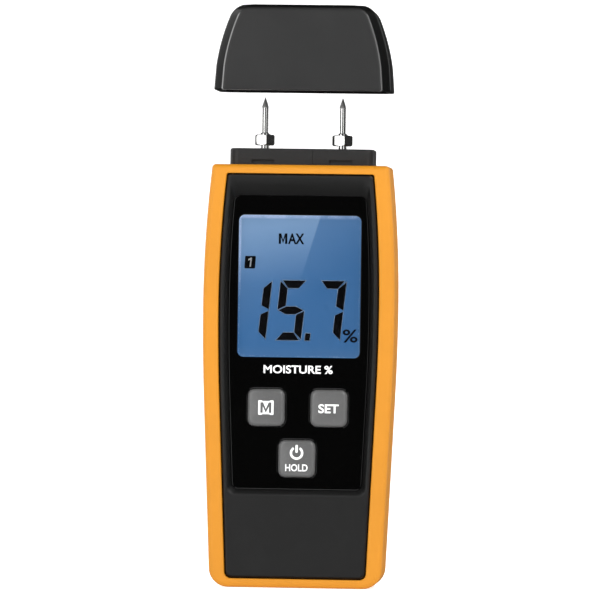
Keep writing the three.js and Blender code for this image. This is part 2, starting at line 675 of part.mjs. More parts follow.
// AAA cell with its plus nub at the upper end
function cell() {
  return turned([
    [0, 0],
    [CELL.radius - 0.4, 0],
    [CELL.radius, 0.4],
    [CELL.radius, CELL.body - 0.5],
    [CELL.radius - 0.5, CELL.body],
    [CELL.nubRadius, CELL.body],
    [CELL.nubRadius, CELL.body + CELL.nub],
    [0, CELL.body + CELL.nub],
  ], 0, 0, 18);
}

// Conical coil, wide at the wall and narrow at the cell
class ConicalHelix extends THREE.Curve {
  getPoint(t, target = new THREE.Vector3()) {
    const turn = t * SPRING.turns * Math.PI * 2;
    const radius = THREE.MathUtils.lerp(SPRING.wide, SPRING.narrow, t);
    const z = SPRING.wire + t * (SPRING.height - 2 * SPRING.wire);
    return target.set(radius * Math.cos(turn), radius * Math.sin(turn), z);
  }
}

function cellSpring() {
  const section = new THREE.Shape().absarc(0, 0, SPRING.wire, 0, Math.PI * 2);
  const path = new ConicalHelix();
  return new THREE.ExtrudeGeometry(section, { steps: 40, curveSegments: 3, extrudePath: path });
}

function contact() {
  return block(-CONTACT.width / 2, CONTACT.width / 2, -4, 4, 0, CONTACT.thick);
}

// Screw along +Y: head outwards at the back
function screw({ head: radius, headThick, shank, length }) {
  const profile = [
    [0, 0],
    [shank, 0],
    [shank, length],
    [radius, length],
    [radius, length + headThick * 0.6],
    [radius * 0.75, length + headThick],
    [0, length + headThick],
  ];
  const body = new THREE.LatheGeometry(profile.map(([r, y]) => new THREE.Vector2(r, y)), 14);
  const top = length + headThick;
  const arm = radius * 0.6;
  const slotHalf = 0.3;
  const slot = (ax, az) => block(-ax, ax, top - 0.6, top + 1, -az, az);
  return cut(body, slot(arm, slotHalf), slot(slotHalf, arm));
}

const casing = new THREE.Group();
place(casing, 'orange_frame', ORANGE, orangeFrame());
place(casing, 'front_case', BLACK, frontCase());
place(casing, 'gloss_panel', GLOSS_BLACK, glossPanel());
place(casing, 'display_window', CLEAR, displayWindow());
place(casing, 'rear_cover', BLACK, rearCover());
place(casing, 'battery_door', BLACK, batteryDoor());
place(casing, 'door_foam', FOAM, doorFoam());
meter.add(casing);

const electronics = new THREE.Group();
place(electronics, 'lcd_glass', LCD_BLUE, lcdGlass());
place(electronics, 'backlight_guide', WHITE, backlightGuide());
place(electronics, 'zebra_strip', RUBBER_GREY, zebraStrip());
place(electronics, 'lcd_holder', WHITE, lcdHolder());
place(electronics, 'main_board', BOARD_GREEN, mainBoard());
place(electronics, 'controller_chip', CHIP, chip(CONTROLLER));
place(electronics, 'amplifier_chip', CHIP, chip(AMPLIFIER));
place(electronics, 'sounder', CHIP, sounder());
meter.add(electronics);

const keypad = new THREE.Group();
for (const key of KEYS) {
  place(keypad, `key_${key.name}`, KEY_GREY, keyCap(key));
  place(keypad, `switch_${key.name}`, CHIP, switchBody(key));
  place(keypad, `plunger_${key.name}`, WHITE, switchPlunger(key));
}
meter.add(keypad);

const head = new THREE.Group();
place(head, 'electrode_head', BLACK, electrodeHead());
for (const [name, side] of [['left', -1], ['right', 1]]) {
  const hexTurn = THREE.MathUtils.degToRad(HEX_TURN[name]);
  const lookOfLead = side < 0 ? RED_LEAD : BLUE_LEAD;
  place(head, `pin_${name}`, STEEL, pin(hexTurn), side * PIN_X, HEAD_Y);
  place(head, `socket_${name}`, BRASS, socket(), side * PIN_X, HEAD_Y);
  place(head, `terminal_${name}`, BRASS, terminal(side), side * PIN_X, HEAD_Y);
  place(head, `nut_${name}`, STEEL, nut(), side * PIN_X, HEAD_Y);
  place(head, `lead_${name}`, lookOfLead, lead(side));
}
place(head, 'pin_cap', BLACK, pinCap());
meter.add(head);

// The middle cell is turned end for end, so its spring is at the top of the tray
const power = new THREE.Group();
for (const [index, step] of [-1, 0, 1].entries()) {
  const x = step * CELL.pitch;
  const flipped = step === 0;
  const column = new THREE.Group();
  column.position.set(x, CELL.y, (TRAY.bottom + TRAY.top) / 2);
  column.rotation.y = flipped ? Math.PI : 0;
  const half = (TRAY.top - TRAY.bottom) / 2;
  place(column, `cell_${index + 1}`, CELL_WRAP, cell(), 0, 0, cellBottom - TRAY.bottom - half);
  place(column, `cell_spring_${index + 1}`, STEEL, cellSpring(), 0, 0, GAP - half);
  place(column, `cell_contact_${index + 1}`, STEEL, contact(), 0, 0, half - GAP - CONTACT.thick);
  power.add(column);
}
meter.add(power);

const fasteners = new THREE.Group();
for (const [index, [x, z]] of CASE_SCREWS.entries()) {
  place(fasteners, `case_screw_${index + 1}`, STEEL, screw(CASE_SCREW),
    x, SCREW_SEAT_Y + GAP - CASE_SCREW.length, z);
}
for (const [index, [x, z]] of BOARD_SCREWS.entries()) {
  place(fasteners, `board_screw_${index + 1}`, STEEL, screw(BOARD_SCREW),
    x, boardBack - BOARD_SCREW.length, z);
}
meter.add(fasteners);

export default meter;
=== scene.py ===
"""Looks of a pin-type moisture meter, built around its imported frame.

Lengths in the functions are in millimetres, and a mesh is turned to metres as it is made.
The frame has +Z up along the case, the front face towards -Y and +X to the right of the display.
"""

import math

import bmesh
import bpy
import numpy as np
from mathutils import Matrix, Vector


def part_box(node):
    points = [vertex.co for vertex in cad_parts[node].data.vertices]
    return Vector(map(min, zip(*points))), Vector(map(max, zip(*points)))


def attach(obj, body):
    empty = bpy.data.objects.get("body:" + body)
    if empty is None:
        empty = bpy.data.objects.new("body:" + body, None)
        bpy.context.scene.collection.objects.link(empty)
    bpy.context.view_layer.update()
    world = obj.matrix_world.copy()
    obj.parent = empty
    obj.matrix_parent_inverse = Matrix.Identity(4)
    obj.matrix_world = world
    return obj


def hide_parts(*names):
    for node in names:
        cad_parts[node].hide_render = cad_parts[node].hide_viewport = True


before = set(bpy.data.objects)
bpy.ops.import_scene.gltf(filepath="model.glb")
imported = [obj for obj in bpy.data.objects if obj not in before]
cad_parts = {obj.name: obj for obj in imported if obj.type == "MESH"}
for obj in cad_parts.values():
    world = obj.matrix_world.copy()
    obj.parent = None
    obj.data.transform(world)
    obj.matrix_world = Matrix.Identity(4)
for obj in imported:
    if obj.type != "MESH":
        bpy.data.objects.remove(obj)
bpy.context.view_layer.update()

bl_info = {
    "name": "Moisture meter looks",
    "version": (1, 0, 0),
    "blender": (4, 5, 0),
    "location": "View3D > Sidebar > Moisture meter",
    "description": "Builds the visible pieces and finishes of a pin-type moisture meter",
    "category": "Object",
}

MM = 0.001
GAP = 0.3
SHARP_ANGLE = 32


# ------------------------------------------------------------------ sizes read from the frame

def box(node):
    """Lowest and highest corner of a CAD node, in millimetres."""
    low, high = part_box(node)
    return np.array(low) / MM, np.array(high) / MM


FRAME_LOW, FRAME_HIGH = box("orange_frame")
PANEL_LOW, PANEL_HIGH = box("gloss_panel")
WINDOW_LOW, WINDOW_HIGH = box("display_window")
LCD_LOW, LCD_HIGH = box("lcd_glass")
HEAD_LOW, HEAD_HIGH = box("electrode_head")
CAP_LOW, CAP_HIGH = box("pin_cap")
PIN_LOW, PIN_HIGH = box("pin_left")
CELLS_LOW, CELLS_HIGH = box("cell_1")[0], box("cell_3")[1]
CASE_FRONT = box("front_case")[0][1]
REAR_BACK = box("rear_cover")[1][1]
DOOR_BACK = box("battery_door")[1][1]

WINDOW_MIDDLE = (WINDOW_HIGH[2] + WINDOW_LOW[2]) / 2
CAP_HALF, CAP_DEPTH_HALF, CAP_WALL = 28.9, 13.6, 2.3
CAP_BOTTOM, CAP_HEIGHT = CAP_LOW[2], CAP_HIGH[2] - CAP_LOW[2]
CASE_HEIGHT = FRAME_HIGH[2]
HALF_WIDTH = FRAME_HIGH[0]
FRONT = FRAME_LOW[1]
FOOT, SHOULDER = 6.3, 1.3
WAIST = 92.0
LOWER_RADIUS, LOWER_LENGTH = 700.0, 30.0
UPPER_RADIUS = 415.0
LIP_SIDE, LIP_END = 5.1, 2.9
WALL = 2.2
PANEL_SIDE = HALF_WIDTH - PANEL_HIGH[0]
HEAD_WIDTH, HEAD_DEPTH, HEAD_CORNER = 47.2, 15.0, 3.0
HEAD_MIDDLE = (HEAD_LOW[1] + HEAD_HIGH[1]) / 2
PIN_SPREAD = abs(PIN_HIGH[0] + PIN_LOW[0]) / 2
REAR_FRONT, REAR_SKIRT_FRONT = 9.3, 6.0


# ------------------------------------------------------------------ settings shown in the panel

def colour_setting(label, default):
    return bpy.props.FloatVectorProperty(
        name=label, description=f"Colour of the {label.lower()}", subtype="COLOR",
        size=3, min=0.0, max=1.0, default=default,
    )


def length_setting(label, default):
    """A length setting, whose default is given in millimetres."""
    return bpy.props.FloatProperty(
        name=label, description=f"{label} of the meter", default=default * MM, min=0.0, unit="LENGTH",
    )


class MeterFinishes(bpy.types.PropertyGroup):
    """Colours of the meter's finishes."""
    surround: colour_setting("Orange surround", (0.541, 0.212, 0.0105))
    case: colour_setting("Black case", (0.0054, 0.0054, 0.0054))
    cap: colour_setting("Pin cap", (0.0200, 0.0200, 0.0200))
    panel: colour_setting("Gloss panel", (0.0004, 0.0004, 0.0004))
    key: colour_setting("Keys", (0.094, 0.094, 0.094))
    legend: colour_setting("Printed legends", (0.86, 0.86, 0.86))
    glow: colour_setting("Display backlight", (0.036, 0.128, 0.300))
    # painted reflection: tint of the glare painted on the upper left of the display
    glare_tint: colour_setting("Display upper left", (0.185, 0.310, 0.500))
    steel: colour_setting("Electrode steel", (0.78, 0.78, 0.77))


class MeterSizes(bpy.types.PropertyGroup):
    """Edge and relief sizes that the frame leaves to the looks."""
    surround_edge: length_setting("Surround edge radius", 1.8)
    case_edge: length_setting("Case edge radius", 0.8)
    recess_rim: length_setting("Rim round the recess", 1.0)
    key_dome: length_setting("Key dome height", 0.55)
    cap_edge: length_setting("Cap edge radius", 0.55)
    segment_width: length_setting("Display segment width", 2.45)


def setting(name):
    """One of the length settings, in millimetres."""
    return getattr(bpy.context.scene.meter_sizes, name) / MM


# ------------------------------------------------------------------ surfaces

def faces_of_grid(rows, columns, wrap_rows):
    """Quads of a grid whose columns close on themselves, and whose rows do too if asked."""
    i = np.arange(rows if wrap_rows else rows - 1)[:, None]
    j = np.arange(columns)[None, :]
    following, beside = (i + 1) % rows, (j + 1) % columns
    corners = (i * columns + j, i * columns + beside, following * columns + beside, following * columns + j)
    return np.stack(np.broadcast_arrays(*corners), -1).reshape(-1, 4)


def skin(rings, wrap=False):
    """A closed surface through rings of equal length: rings[i, j] is point j of ring i.
    With wrap the last ring joins the first, as on a swept ring. Without it each end closes in a fan
    on the end ring's middle point. Faces are turned outwards by the sign of the enclosed volume."""
    rings = np.asarray(rings, float)
    rows, columns = rings.shape[:2]
    points = rings.reshape(-1, 3)
    quads = faces_of_grid(rows, columns, wrap).tolist()
    if not wrap:
        ring = np.arange(columns)
        beside = np.roll(ring, -1)
        first, last = len(points), len(points) + 1
        points = np.vstack([points, rings[0].mean(0), rings[-1].mean(0)])
        shift = (rows - 1) * columns
        quads += np.stack([beside, ring, np.full(columns, first)], -1).tolist()
        quads += np.stack([ring + shift, beside + shift, np.full(columns, last)], -1).tolist()
    if enclosed_volume(points, quads) < 0:
        quads = [face[::-1] for face in quads]
    return points, quads


def enclosed_volume(points, faces):
    """Signed volume under fans of triangles: a sum of a . (b x c) / 6 over all of them."""
    three = np.array([f[:3] for f in faces])
    four = np.array([[f[0], f[2], f[3]] for f in faces if len(f) == 4])
    tris = np.vstack([three, four]) if len(four) else three
    a, b, c = (points[tris[:, k]] for k in range(3))
    return float(np.einsum("ij,ij->i", a, np.cross(b, c)).sum() / 6)


def arc(start, end, count):
    """Angles from start to end in degrees, in radians."""
    return np.radians(np.linspace(start, end, count))


def flank(z):
    """Half width of the case at a height: an arc above the waist, a flatter arc and then a straight
    taper below it."""
    down = np.clip(WAIST - z, 0, None)
    curved = np.minimum(down, LOWER_LENGTH)
    straight = down - curved
    below = curved ** 2 / (2 * LOWER_RADIUS) + straight * LOWER_LENGTH / LOWER_RADIUS
    above = np.clip(z - WAIST, 0, None) ** 2 / (2 * UPPER_RADIUS)
    return HALF_WIDTH - above - below


def outline(side, bottom, top, foot, shoulder, y, corner=10, along=44):
    """Ring of points round the case, moved in by side at the flanks, between two heights, with
    corner radii foot and shoulder. The right half runs up: corner arc, flank, corner arc."""
    turn = arc(0, 90, corner)
    foot_x = flank(bottom + foot) - side
    shoulder_x = flank(top - shoulder) - side
    z = np.linspace(bottom + foot, top - shoulder, along)[1:-1]
    x = np.concatenate([
        foot_x - foot * (1 - np.sin(turn)), flank(z) - side, shoulder_x - shoulder * (1 - np.cos(turn)),
    ])
    z = np.concatenate([bottom + foot * (1 - np.cos(turn)), z, top - shoulder * (1 - np.sin(turn))])
    right = np.stack([x, np.full_like(x, y), z], -1)
    return np.vstack([right, (right * [-1, 1, 1])[::-1]])


def rounded_rectangle(width, height, radius, steps=8):
    """Points (u, v) of a rectangle with round corners, centred on zero and anticlockwise."""
    corners = []
    for su, sv, start in ((1, -1, -90), (1, 1, 0), (-1, 1, 90), (-1, -1, 180)):
        turn = arc(start, start + 90, steps)
        middle = np.array([su * (width / 2 - radius), sv * (height / 2 - radius)])
        corners.append(middle + radius * np.stack([np.cos(turn), np.sin(turn)], -1))
    return np.vstack(corners)


def upright(points, y):
    """(x, z) points as a ring at one y."""
    return np.stack([points[:, 0], np.full(len(points), y), points[:, 1]], -1)


def level(points, z):
    """(x, y) points as a ring at one z."""
    return np.stack([points[:, 0], points[:, 1], np.full(len(points), z)], -1)


def lathe(profile, centre, steps=48):
    """Surface of (radius, z) pairs turned about an upright axis at centre (x, y)."""
    profile = np.asarray(profile, float)
    turn = np.linspace(0, 2 * np.pi, steps, endpoint=False)
    circle = np.stack([np.cos(turn), np.sin(turn)], -1)
    rings = np.empty((len(profile), steps, 3))
    rings[..., :2] = profile[:, :1, None] * circle + np.asarray(centre)
    rings[..., 2] = profile[:, 1:2]
    return skin(rings)


def lathe_along_y(profile, x, z, steps=40):
    """Surface of (radius, y) pairs turned about an axis along Y at (x, z)."""
    points, faces = lathe(profile, (0, 0), steps)
    points = np.stack([points[:, 0] + x, points[:, 2], -points[:, 1] + z], -1)
    return points, faces


def tube(path, radius, sides):
    """Round tube along a smooth path of points. Each ring stands square to the path, on two
    directions across it: the first is square to a fixed slanting reference."""
    ahead = np.gradient(path, axis=0)
    ahead /= np.linalg.norm(ahead, axis=1)[:, None]
    reference = np.array([0.31, 0.83, 0.46])
    first = np.cross(ahead, reference)
    first /= np.linalg.norm(first, axis=1)[:, None]
    second = np.cross(ahead, first)
    turn = np.linspace(0, 2 * np.pi, sides, endpoint=False)
    rings = (
        path[:, None] + radius * np.cos(turn)[None, :, None] * first[:, None]
        + radius * np.sin(turn)[None, :, None] * second[:, None]
    )
    return skin(rings)


def block(low, high, edge=0.15):
    """Box between two corners with its edges rounded: rounded rectangles stacked along Y, drawn
    in near the two ends by a quarter circle."""
    low, high = np.asarray(low, float), np.asarray(high, float)
    middle, span = (low + high) / 2, high - low
    edge = min(edge, span.min() / 2.2)
    turn = arc(0, 90, 4)
    rings = []
    for y, direction, steps in ((low[1], 1, turn), (high[1], -1, turn[::-1])):
        for t in steps:
            inset = edge * (1 - math.sin(t))
            offset = edge * (1 - math.cos(t))
            ring = rounded_rectangle(span[0] - 2 * inset, span[2] - 2 * inset, max(edge - inset, 0.02), 4)
            rings.append(upright(ring + middle[[0, 2]], y + direction * offset))
    return skin(rings)


# ------------------------------------------------------------------ making pieces

def join_parts(parts):
    """One list of points and one of faces out of several closed surfaces."""
    points, faces, shift = [], [], 0
    for part_points, part_faces in parts:
        points.append(part_points)
        faces += [[int(v) + shift for v in face] for face in part_faces]
        shift += len(part_points)
    return np.vstack(points), faces


def new_mesh(name, parts, sharp=SHARP_ANGLE):
    points, faces = join_parts(parts)
    mesh = bpy.data.meshes.new(name)
    mesh.from_pydata((points * MM).tolist(), [], faces)
    mesh.validate()
    mesh.shade_smooth()
    mesh.set_sharp_from_angle(angle=math.radians(sharp))
    return mesh


def new_object(name, mesh):
    made = bpy.data.objects.new(name, mesh)
    bpy.context.scene.collection.objects.link(made)
    return made


def finish_piece(made, finish, body="case", replaces=()):
    """Gives a piece its finish, its body and the CAD nodes it stands for."""
    made.data.materials.clear()
    made.data.materials.append(finish_named(finish))
    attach(made, body)
    if replaces:
        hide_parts(*replaces)
    return made


def piece(name, parts, finish, body="case", replaces=(), sharp=SHARP_ANGLE):
    """Makes a finished piece out of closed surfaces."""
    return finish_piece(new_object(name, new_mesh(name, parts, sharp)), finish, body, replaces)


def apply_modifiers(made):
    """Replaces a piece's mesh by what its modifiers make of it."""
    graph = bpy.context.evaluated_depsgraph_get()
    mesh = bpy.data.meshes.new_from_object(made.evaluated_get(graph))
    made.modifiers.clear()
    made.data = mesh


def sheet_mesh(name, loops, front, back, edge, sharp=SHARP_ANGLE):
    """Flat sheet from closed (x, z) loops, holes included, between two y levels, with its edges
    rounded by a small radius. It is filled as a flat curve and turned upright."""
    curve = bpy.data.curves.new(name, "CURVE")
    curve.dimensions, curve.fill_mode = "2D", "BOTH"
    curve.bevel_depth, curve.bevel_resolution = edge, 2
    curve.extrude = max((back - front) / 2 - edge, 0)
    curve.offset = -edge
    for loop in loops:
        spline = curve.splines.new("POLY")
        spline.points.add(len(loop) - 1)
        flat = np.zeros((len(loop), 4))
        flat[:, :2], flat[:, 3] = loop, 1
        spline.points.foreach_set("co", flat.ravel())
        spline.use_cyclic_u = True
    return upright_mesh(name, curve, (front + back) / 2, sharp)


def upright_mesh(name, curve, y, sharp=SHARP_ANGLE):
    """Turns a flat curve or text, drawn in millimetres, into a welded upright mesh at one y."""
    holder = new_object(name, curve)
    bpy.context.view_layer.update()
    graph = bpy.context.evaluated_depsgraph_get()
    mesh = bpy.data.meshes.new_from_object(holder.evaluated_get(graph))
    bpy.data.objects.remove(holder)
    place = Matrix.Translation((0, y * MM, 0)) @ Matrix.Rotation(math.pi / 2, 4, "X") @ Matrix.Scale(MM, 4)
    mesh.transform(place)
    work = bmesh.new()
    work.from_mesh(mesh)
    bmesh.ops.remove_doubles(work, verts=work.verts, dist=1e-7)
    bmesh.ops.recalc_face_normals(work, faces=work.faces)
    work.to_mesh(mesh)
    work.free()
    mesh.shade_smooth()
    mesh.set_sharp_from_angle(angle=math.radians(sharp))
    return mesh


CAP_HEIGHT_SHARE = 0.7


def mesh_points(mesh):
    """Vertices of a mesh as rows, in millimetres."""
    points = np.empty(len(mesh.vertices) * 3)
    mesh.vertices.foreach_get("co", points)
    return points.reshape(-1, 3) / MM


def words(name, text, height, x, z, y, width, thick=0.04, weight=0.06):
    """Plain sans-serif lettering of a cap height, centred on (x, z) at a depth y, and drawn out to
    a width. The weight thickens its strokes."""
    font = bpy.data.curves.new(name, "FONT")
    font.body, font.size = text, height / CAP_HEIGHT_SHARE
    font.align_x, font.align_y = "CENTER", "CENTER"
    font.extrude, font.offset = thick / 2, weight
    font.resolution_u = 6
    mesh = upright_mesh(name, font, y)
    points = mesh_points(mesh)
    low, high = points.min(0), points.max(0)
    stretch = width / (high[0] - low[0])
    points[:, 0] = (points[:, 0] - (low[0] + high[0]) / 2) * stretch + x
    points[:, 2] += z - (low[2] + high[2]) / 2
    mesh.vertices.foreach_set("co", (points * MM).ravel())
    return mesh


def merge_meshes(name, meshes):
    """Joins meshes into one, so that print of one colour is one piece."""
    work = bmesh.new()
    for mesh in meshes:
        work.from_mesh(mesh)
    joined = bpy.data.meshes.new(name)
    work.to_mesh(joined)
    work.free()
    joined.shade_smooth()
    joined.set_sharp_from_angle(angle=math.radians(SHARP_ANGLE))
    return joined


# ------------------------------------------------------------------ shader maths

class Value:
    """A shader socket that takes part in arithmetic. Each operator adds the Math node it needs."""

    def __init__(self, tree, socket):
        self.tree, self.socket = tree, socket

    def maths(self, operation, *others):
        node = self.tree.nodes.new("ShaderNodeMath")
        node.operation = operation
        for slot, item in zip(node.inputs, (self, *others)):
            connect(self.tree, item, slot)
        return Value(self.tree, node.outputs[0])

    def __add__(self, other):
        return self.maths("ADD", other)

    def __sub__(self, other):
        return self.maths("SUBTRACT", other)

    def __mul__(self, other):
        return self.maths("MULTIPLY", other)

    def __rsub__(self, other):
        return (self * -1.0).maths("ADD", other)

    def clamped(self):
        return self.maths("MAXIMUM", 0.0).maths("MINIMUM", 1.0)

    __radd__ = __add__
    __rmul__ = __mul__


def connect(tree, item, slot):
    """Feeds a socket from a link, or sets the number or colour on it."""
    if isinstance(item, Value):
        tree.links.new(item.socket, slot)
    elif hasattr(slot.default_value, "__len__") and len(item) == 3 and len(slot.default_value) == 4:
        slot.default_value = (*item, 1.0)
    else:
        slot.default_value = item


class Finish:
    """A material round one Principled shader, with short ways to the patterns that finishes share."""

    def __init__(self, name, **settings):
        self.material = bpy.data.materials.new(name)
        self.material.use_nodes = True
        self.tree = self.material.node_tree
        self.shader = self.tree.nodes["Principled BSDF"]
        self.place = self.node("ShaderNodeTexCoord", output="Object")
        self.set(**settings)

    def set(self, **settings):
        for name, item in settings.items():
            connect(self.tree, item, self.shader.inputs[name.replace("_", " ")])
        return self

    def node(self, kind, settings=None, sockets=None, output=0):
        """Adds any node: its own settings first, then a ramp's stops, then its sockets."""
        made = self.tree.nodes.new(kind)
        for name, setting in (settings or {}).items():
            if name == "stops":
                while len(made.color_ramp.elements) < len(setting):
                    made.color_ramp.elements.new(0.5)
                for element, (position, colour) in zip(made.color_ramp.elements, setting):
                    element.position, element.color = position, (*colour, 1.0)
            else:
                setattr(made, name, setting)
        for name, item in (sockets or {}).items():
            connect(self.tree, item, made.inputs[name])
        return Value(self.tree, made.outputs[output])

    def axis(self, index):
        """One coordinate of the place on the object, in metres: 0 for x, 1 for y, 2 for z."""
        return self.node("ShaderNodeSeparateXYZ", sockets={0: self.place}, output=index)

    def stretched(self, x, y, z):
        """The place on the object, scaled along each axis: a pattern on it is drawn out where the
        scale is small."""
        return self.node("ShaderNodeMapping", sockets={"Vector": self.place, "Scale": (x, y, z)})

    def noise(self, size, detail=3.0, roughness=0.55, place=None):
        """Soft noise from 0 to 1 whose features are about size millimetres across."""
        sockets = {"Vector": place or self.place, "Scale": 1 / (size * MM), "Detail": detail,
                   "Roughness": roughness}
        return self.node("ShaderNodeTexNoise", sockets=sockets)

    def cells(self, size, feature="F1"):
        """Distance to the nearest of many scattered points, about size millimetres apart."""
        sockets = {"Vector": self.place, "Scale": 1 / (size * MM)}
        return self.node("ShaderNodeTexVoronoi", {"feature": feature}, sockets)

    def spread(self, value, low, high, out_low, out_high):
        """Carries a value's range low to high over to another range, and holds it there."""
        sockets = {0: value, 1: low, 2: high, 3: out_low, 4: out_high}
        return self.node("ShaderNodeMapRange", {"clamp": True}, sockets)

    def blend(self, factor, first, second):
        """Mixes two colours."""
        made = self.tree.nodes.new("ShaderNodeMix")
        made.data_type = "RGBA"
        for slot, item in ((made.inputs[0], factor), (made.inputs[6], first), (made.inputs[7], second)):
            connect(self.tree, item, slot)
        return Value(self.tree, made.outputs[2])

    def relief(self, height, depth, strength=1.0):
        """Bump of a height from 0 to 1 that stands for depth millimetres."""
        return self.node("ShaderNodeBump", sockets={
            "Height": height, "Distance": depth * MM, "Strength": strength})


def shade(colour, factor):
    """A lighter or darker version of a colour."""
    return tuple(min(1.0, c * factor) for c in colour)


def moulded(name, colour, grain, depth, roughness, mottle=0.12, sheen=0.5):
    """Moulded plastic: sparked grain in the surface, slow colour drift, and a few rubbed patches."""
    f = Finish(name, Specular_IOR_Level=sheen)
    swing = 0.07
    drift = f.spread(f.noise(22, 4), 0.3, 0.7, 0.0, 1.0)
    fine = f.noise(grain, 2, 0.6)
    pits = f.cells(grain * 1.7, "SMOOTH_F1")
    wear_and_highlight = f.spread(f.noise(9, 5, 0.65), 0.56, 0.72, 0.0, 1.0)
    base = f.blend(drift, shade(colour, 1 - mottle), shade(colour, 1 + mottle))
    return f.set(
        Base_Color=f.blend(wear_and_highlight * 0.5, base, shade(colour, 1 + 1.6 * mottle)),
        Roughness=f.spread(
            fine * 0.6 + wear_and_highlight * -0.35 + 0.2, 0.0, 0.6, roughness - swing, roughness + swing),
        Normal=f.relief(fine * 0.6 + pits * 0.5, depth),
    ).material


def cap_plastic(name, colour):
    """Cap plastic: sparked faces at the front and the back; bevels, ends and crown plainer and darkened by
    painted shade; and a painted highlight, a pale line along the upright edges of the faces, strongest on
    the left."""
    f = Finish(name, Specular_IOR_Level=0.3)
    # painted shade: every part but the front and back faces takes a much darker copy of the colour; pale is
    # the colour of the painted highlight line
    painted_bevel_shade, pale = 0.12, (0.26, 0.26, 0.26)
    depth = f.axis(1).maths("ABSOLUTE") + (f.axis(2) - CAP_BOTTOM * MM) * 0.05
    face = f.spread(depth, (CAP_DEPTH_HALF - 0.75) * MM, (CAP_DEPTH_HALF - 0.35) * MM, 0.0, 1.0)
    # painted highlight: a thin line where the front and back faces meet their bevels, below the crown
    line = f.spread((depth - (CAP_DEPTH_HALF - 0.38) * MM).maths("ABSOLUTE"), 0.00005, 0.00022, 1.0, 0.0)
    upright_edge = f.spread(f.axis(2), (CAP_HIGH[2] - 3.4) * MM, (CAP_HIGH[2] - 2.6) * MM, 1.0, 0.0)
    fine = f.noise(0.22, 2, 0.6)
    # breaks the painted highlight line up with noise and makes it strongest on the left
    wear_and_highlight = f.spread(fine, 0.3, 0.6, 0.7, 1.0) * f.spread(f.axis(0), -0.02, 0.02, 1.0, 0.4)
    drift = f.spread(f.noise(22, 4), 0.3, 0.7, 0.0, 1.0)
    sparked = f.blend(drift, shade(colour, 0.9), shade(colour, 1.1))
    base = f.blend(face, shade(colour, painted_bevel_shade), sparked)
    return f.set(
        Base_Color=f.blend(line * upright_edge * wear_and_highlight, base, pale),
        Roughness=f.spread(fine * 0.5 + face * 0.5, 0.2, 0.9, 0.34, 0.5),
        Normal=f.relief(fine, 0.018),
    ).material


def polished_black(name, colour):
    """Gloss plastic: nearly flawless, with fine wiping marks and a little dust in the roughness."""
    f = Finish(name, IOR=1.5)
    wiped = f.noise(0.35, 2, 0.5, f.stretched(1, 1, 0.08))
    dust = f.spread(f.cells(1.6), 0.0, 0.06, 1.0, 0.0)
    smudge = f.spread(f.noise(14, 4, 0.6), 0.5, 0.75, 0.0, 1.0)
    return f.set(
        Base_Color=f.blend(dust * 0.25, colour, (0.05, 0.05, 0.05)),
        Roughness=f.spread(wiped * 0.3 + smudge * 0.5 + dust * 0.6, 0.0, 1.2, 0.045, 0.22),
        Normal=f.relief(f.noise(30, 2), 0.02, 0.4),
    ).material


def clear_window(name):
    """Clear acrylic with a slight wiping texture."""
    f = Finish(name, IOR=1.49, Transmission_Weight=1.0)
    return f.set(
        Base_Color=(0.97, 0.985, 1.0),
        Roughness=f.spread(f.noise(0.5, 2, 0.5, f.stretched(1, 1, 0.1)), 0.4, 0.8, 0.0, 0.03),
    ).material


def metal(name, colour, roughness, grain=(1, 1, 1), size=0.15, ground_above=1e3):
    """Turned or plated metal: tool lines along one direction, and patches of duller film. Above
    a height the metal is ground, and so duller."""
    f = Finish(name, Metallic=1.0)
    depth, tarnish = 0.006, 0.15
    lines = f.noise(size, 3, 0.6, f.stretched(*grain))
    film = f.spread(f.noise(2.4, 4, 0.6), 0.4, 0.7, 0.0, 1.0)
    ground = f.spread(f.axis(2), ground_above * MM, (ground_above + 0.3) * MM, 0.0, 0.45)
    return f.set(
        Base_Color=f.blend(film, colour, shade(colour, 1 - tarnish)),
        Roughness=ground + f.spread(
            lines * 0.5 + film * 0.5, 0.2, 0.9, roughness * 0.7, roughness * 1.5),
        Normal=f.relief(lines, depth),
    ).material


def printed(name, colour, sheen=0.5):
    """Screen-printed ink: an even colour with the screen's faint unevenness."""
    f = Finish(name, Specular_IOR_Level=sheen)
    return f.set(
        Base_Color=f.blend(f.noise(0.4, 3), shade(colour, 0.9), shade(colour, 1.05)),
        Roughness=f.spread(f.noise(0.2, 2), 0.3, 0.7, 0.35, 0.55),
    ).material


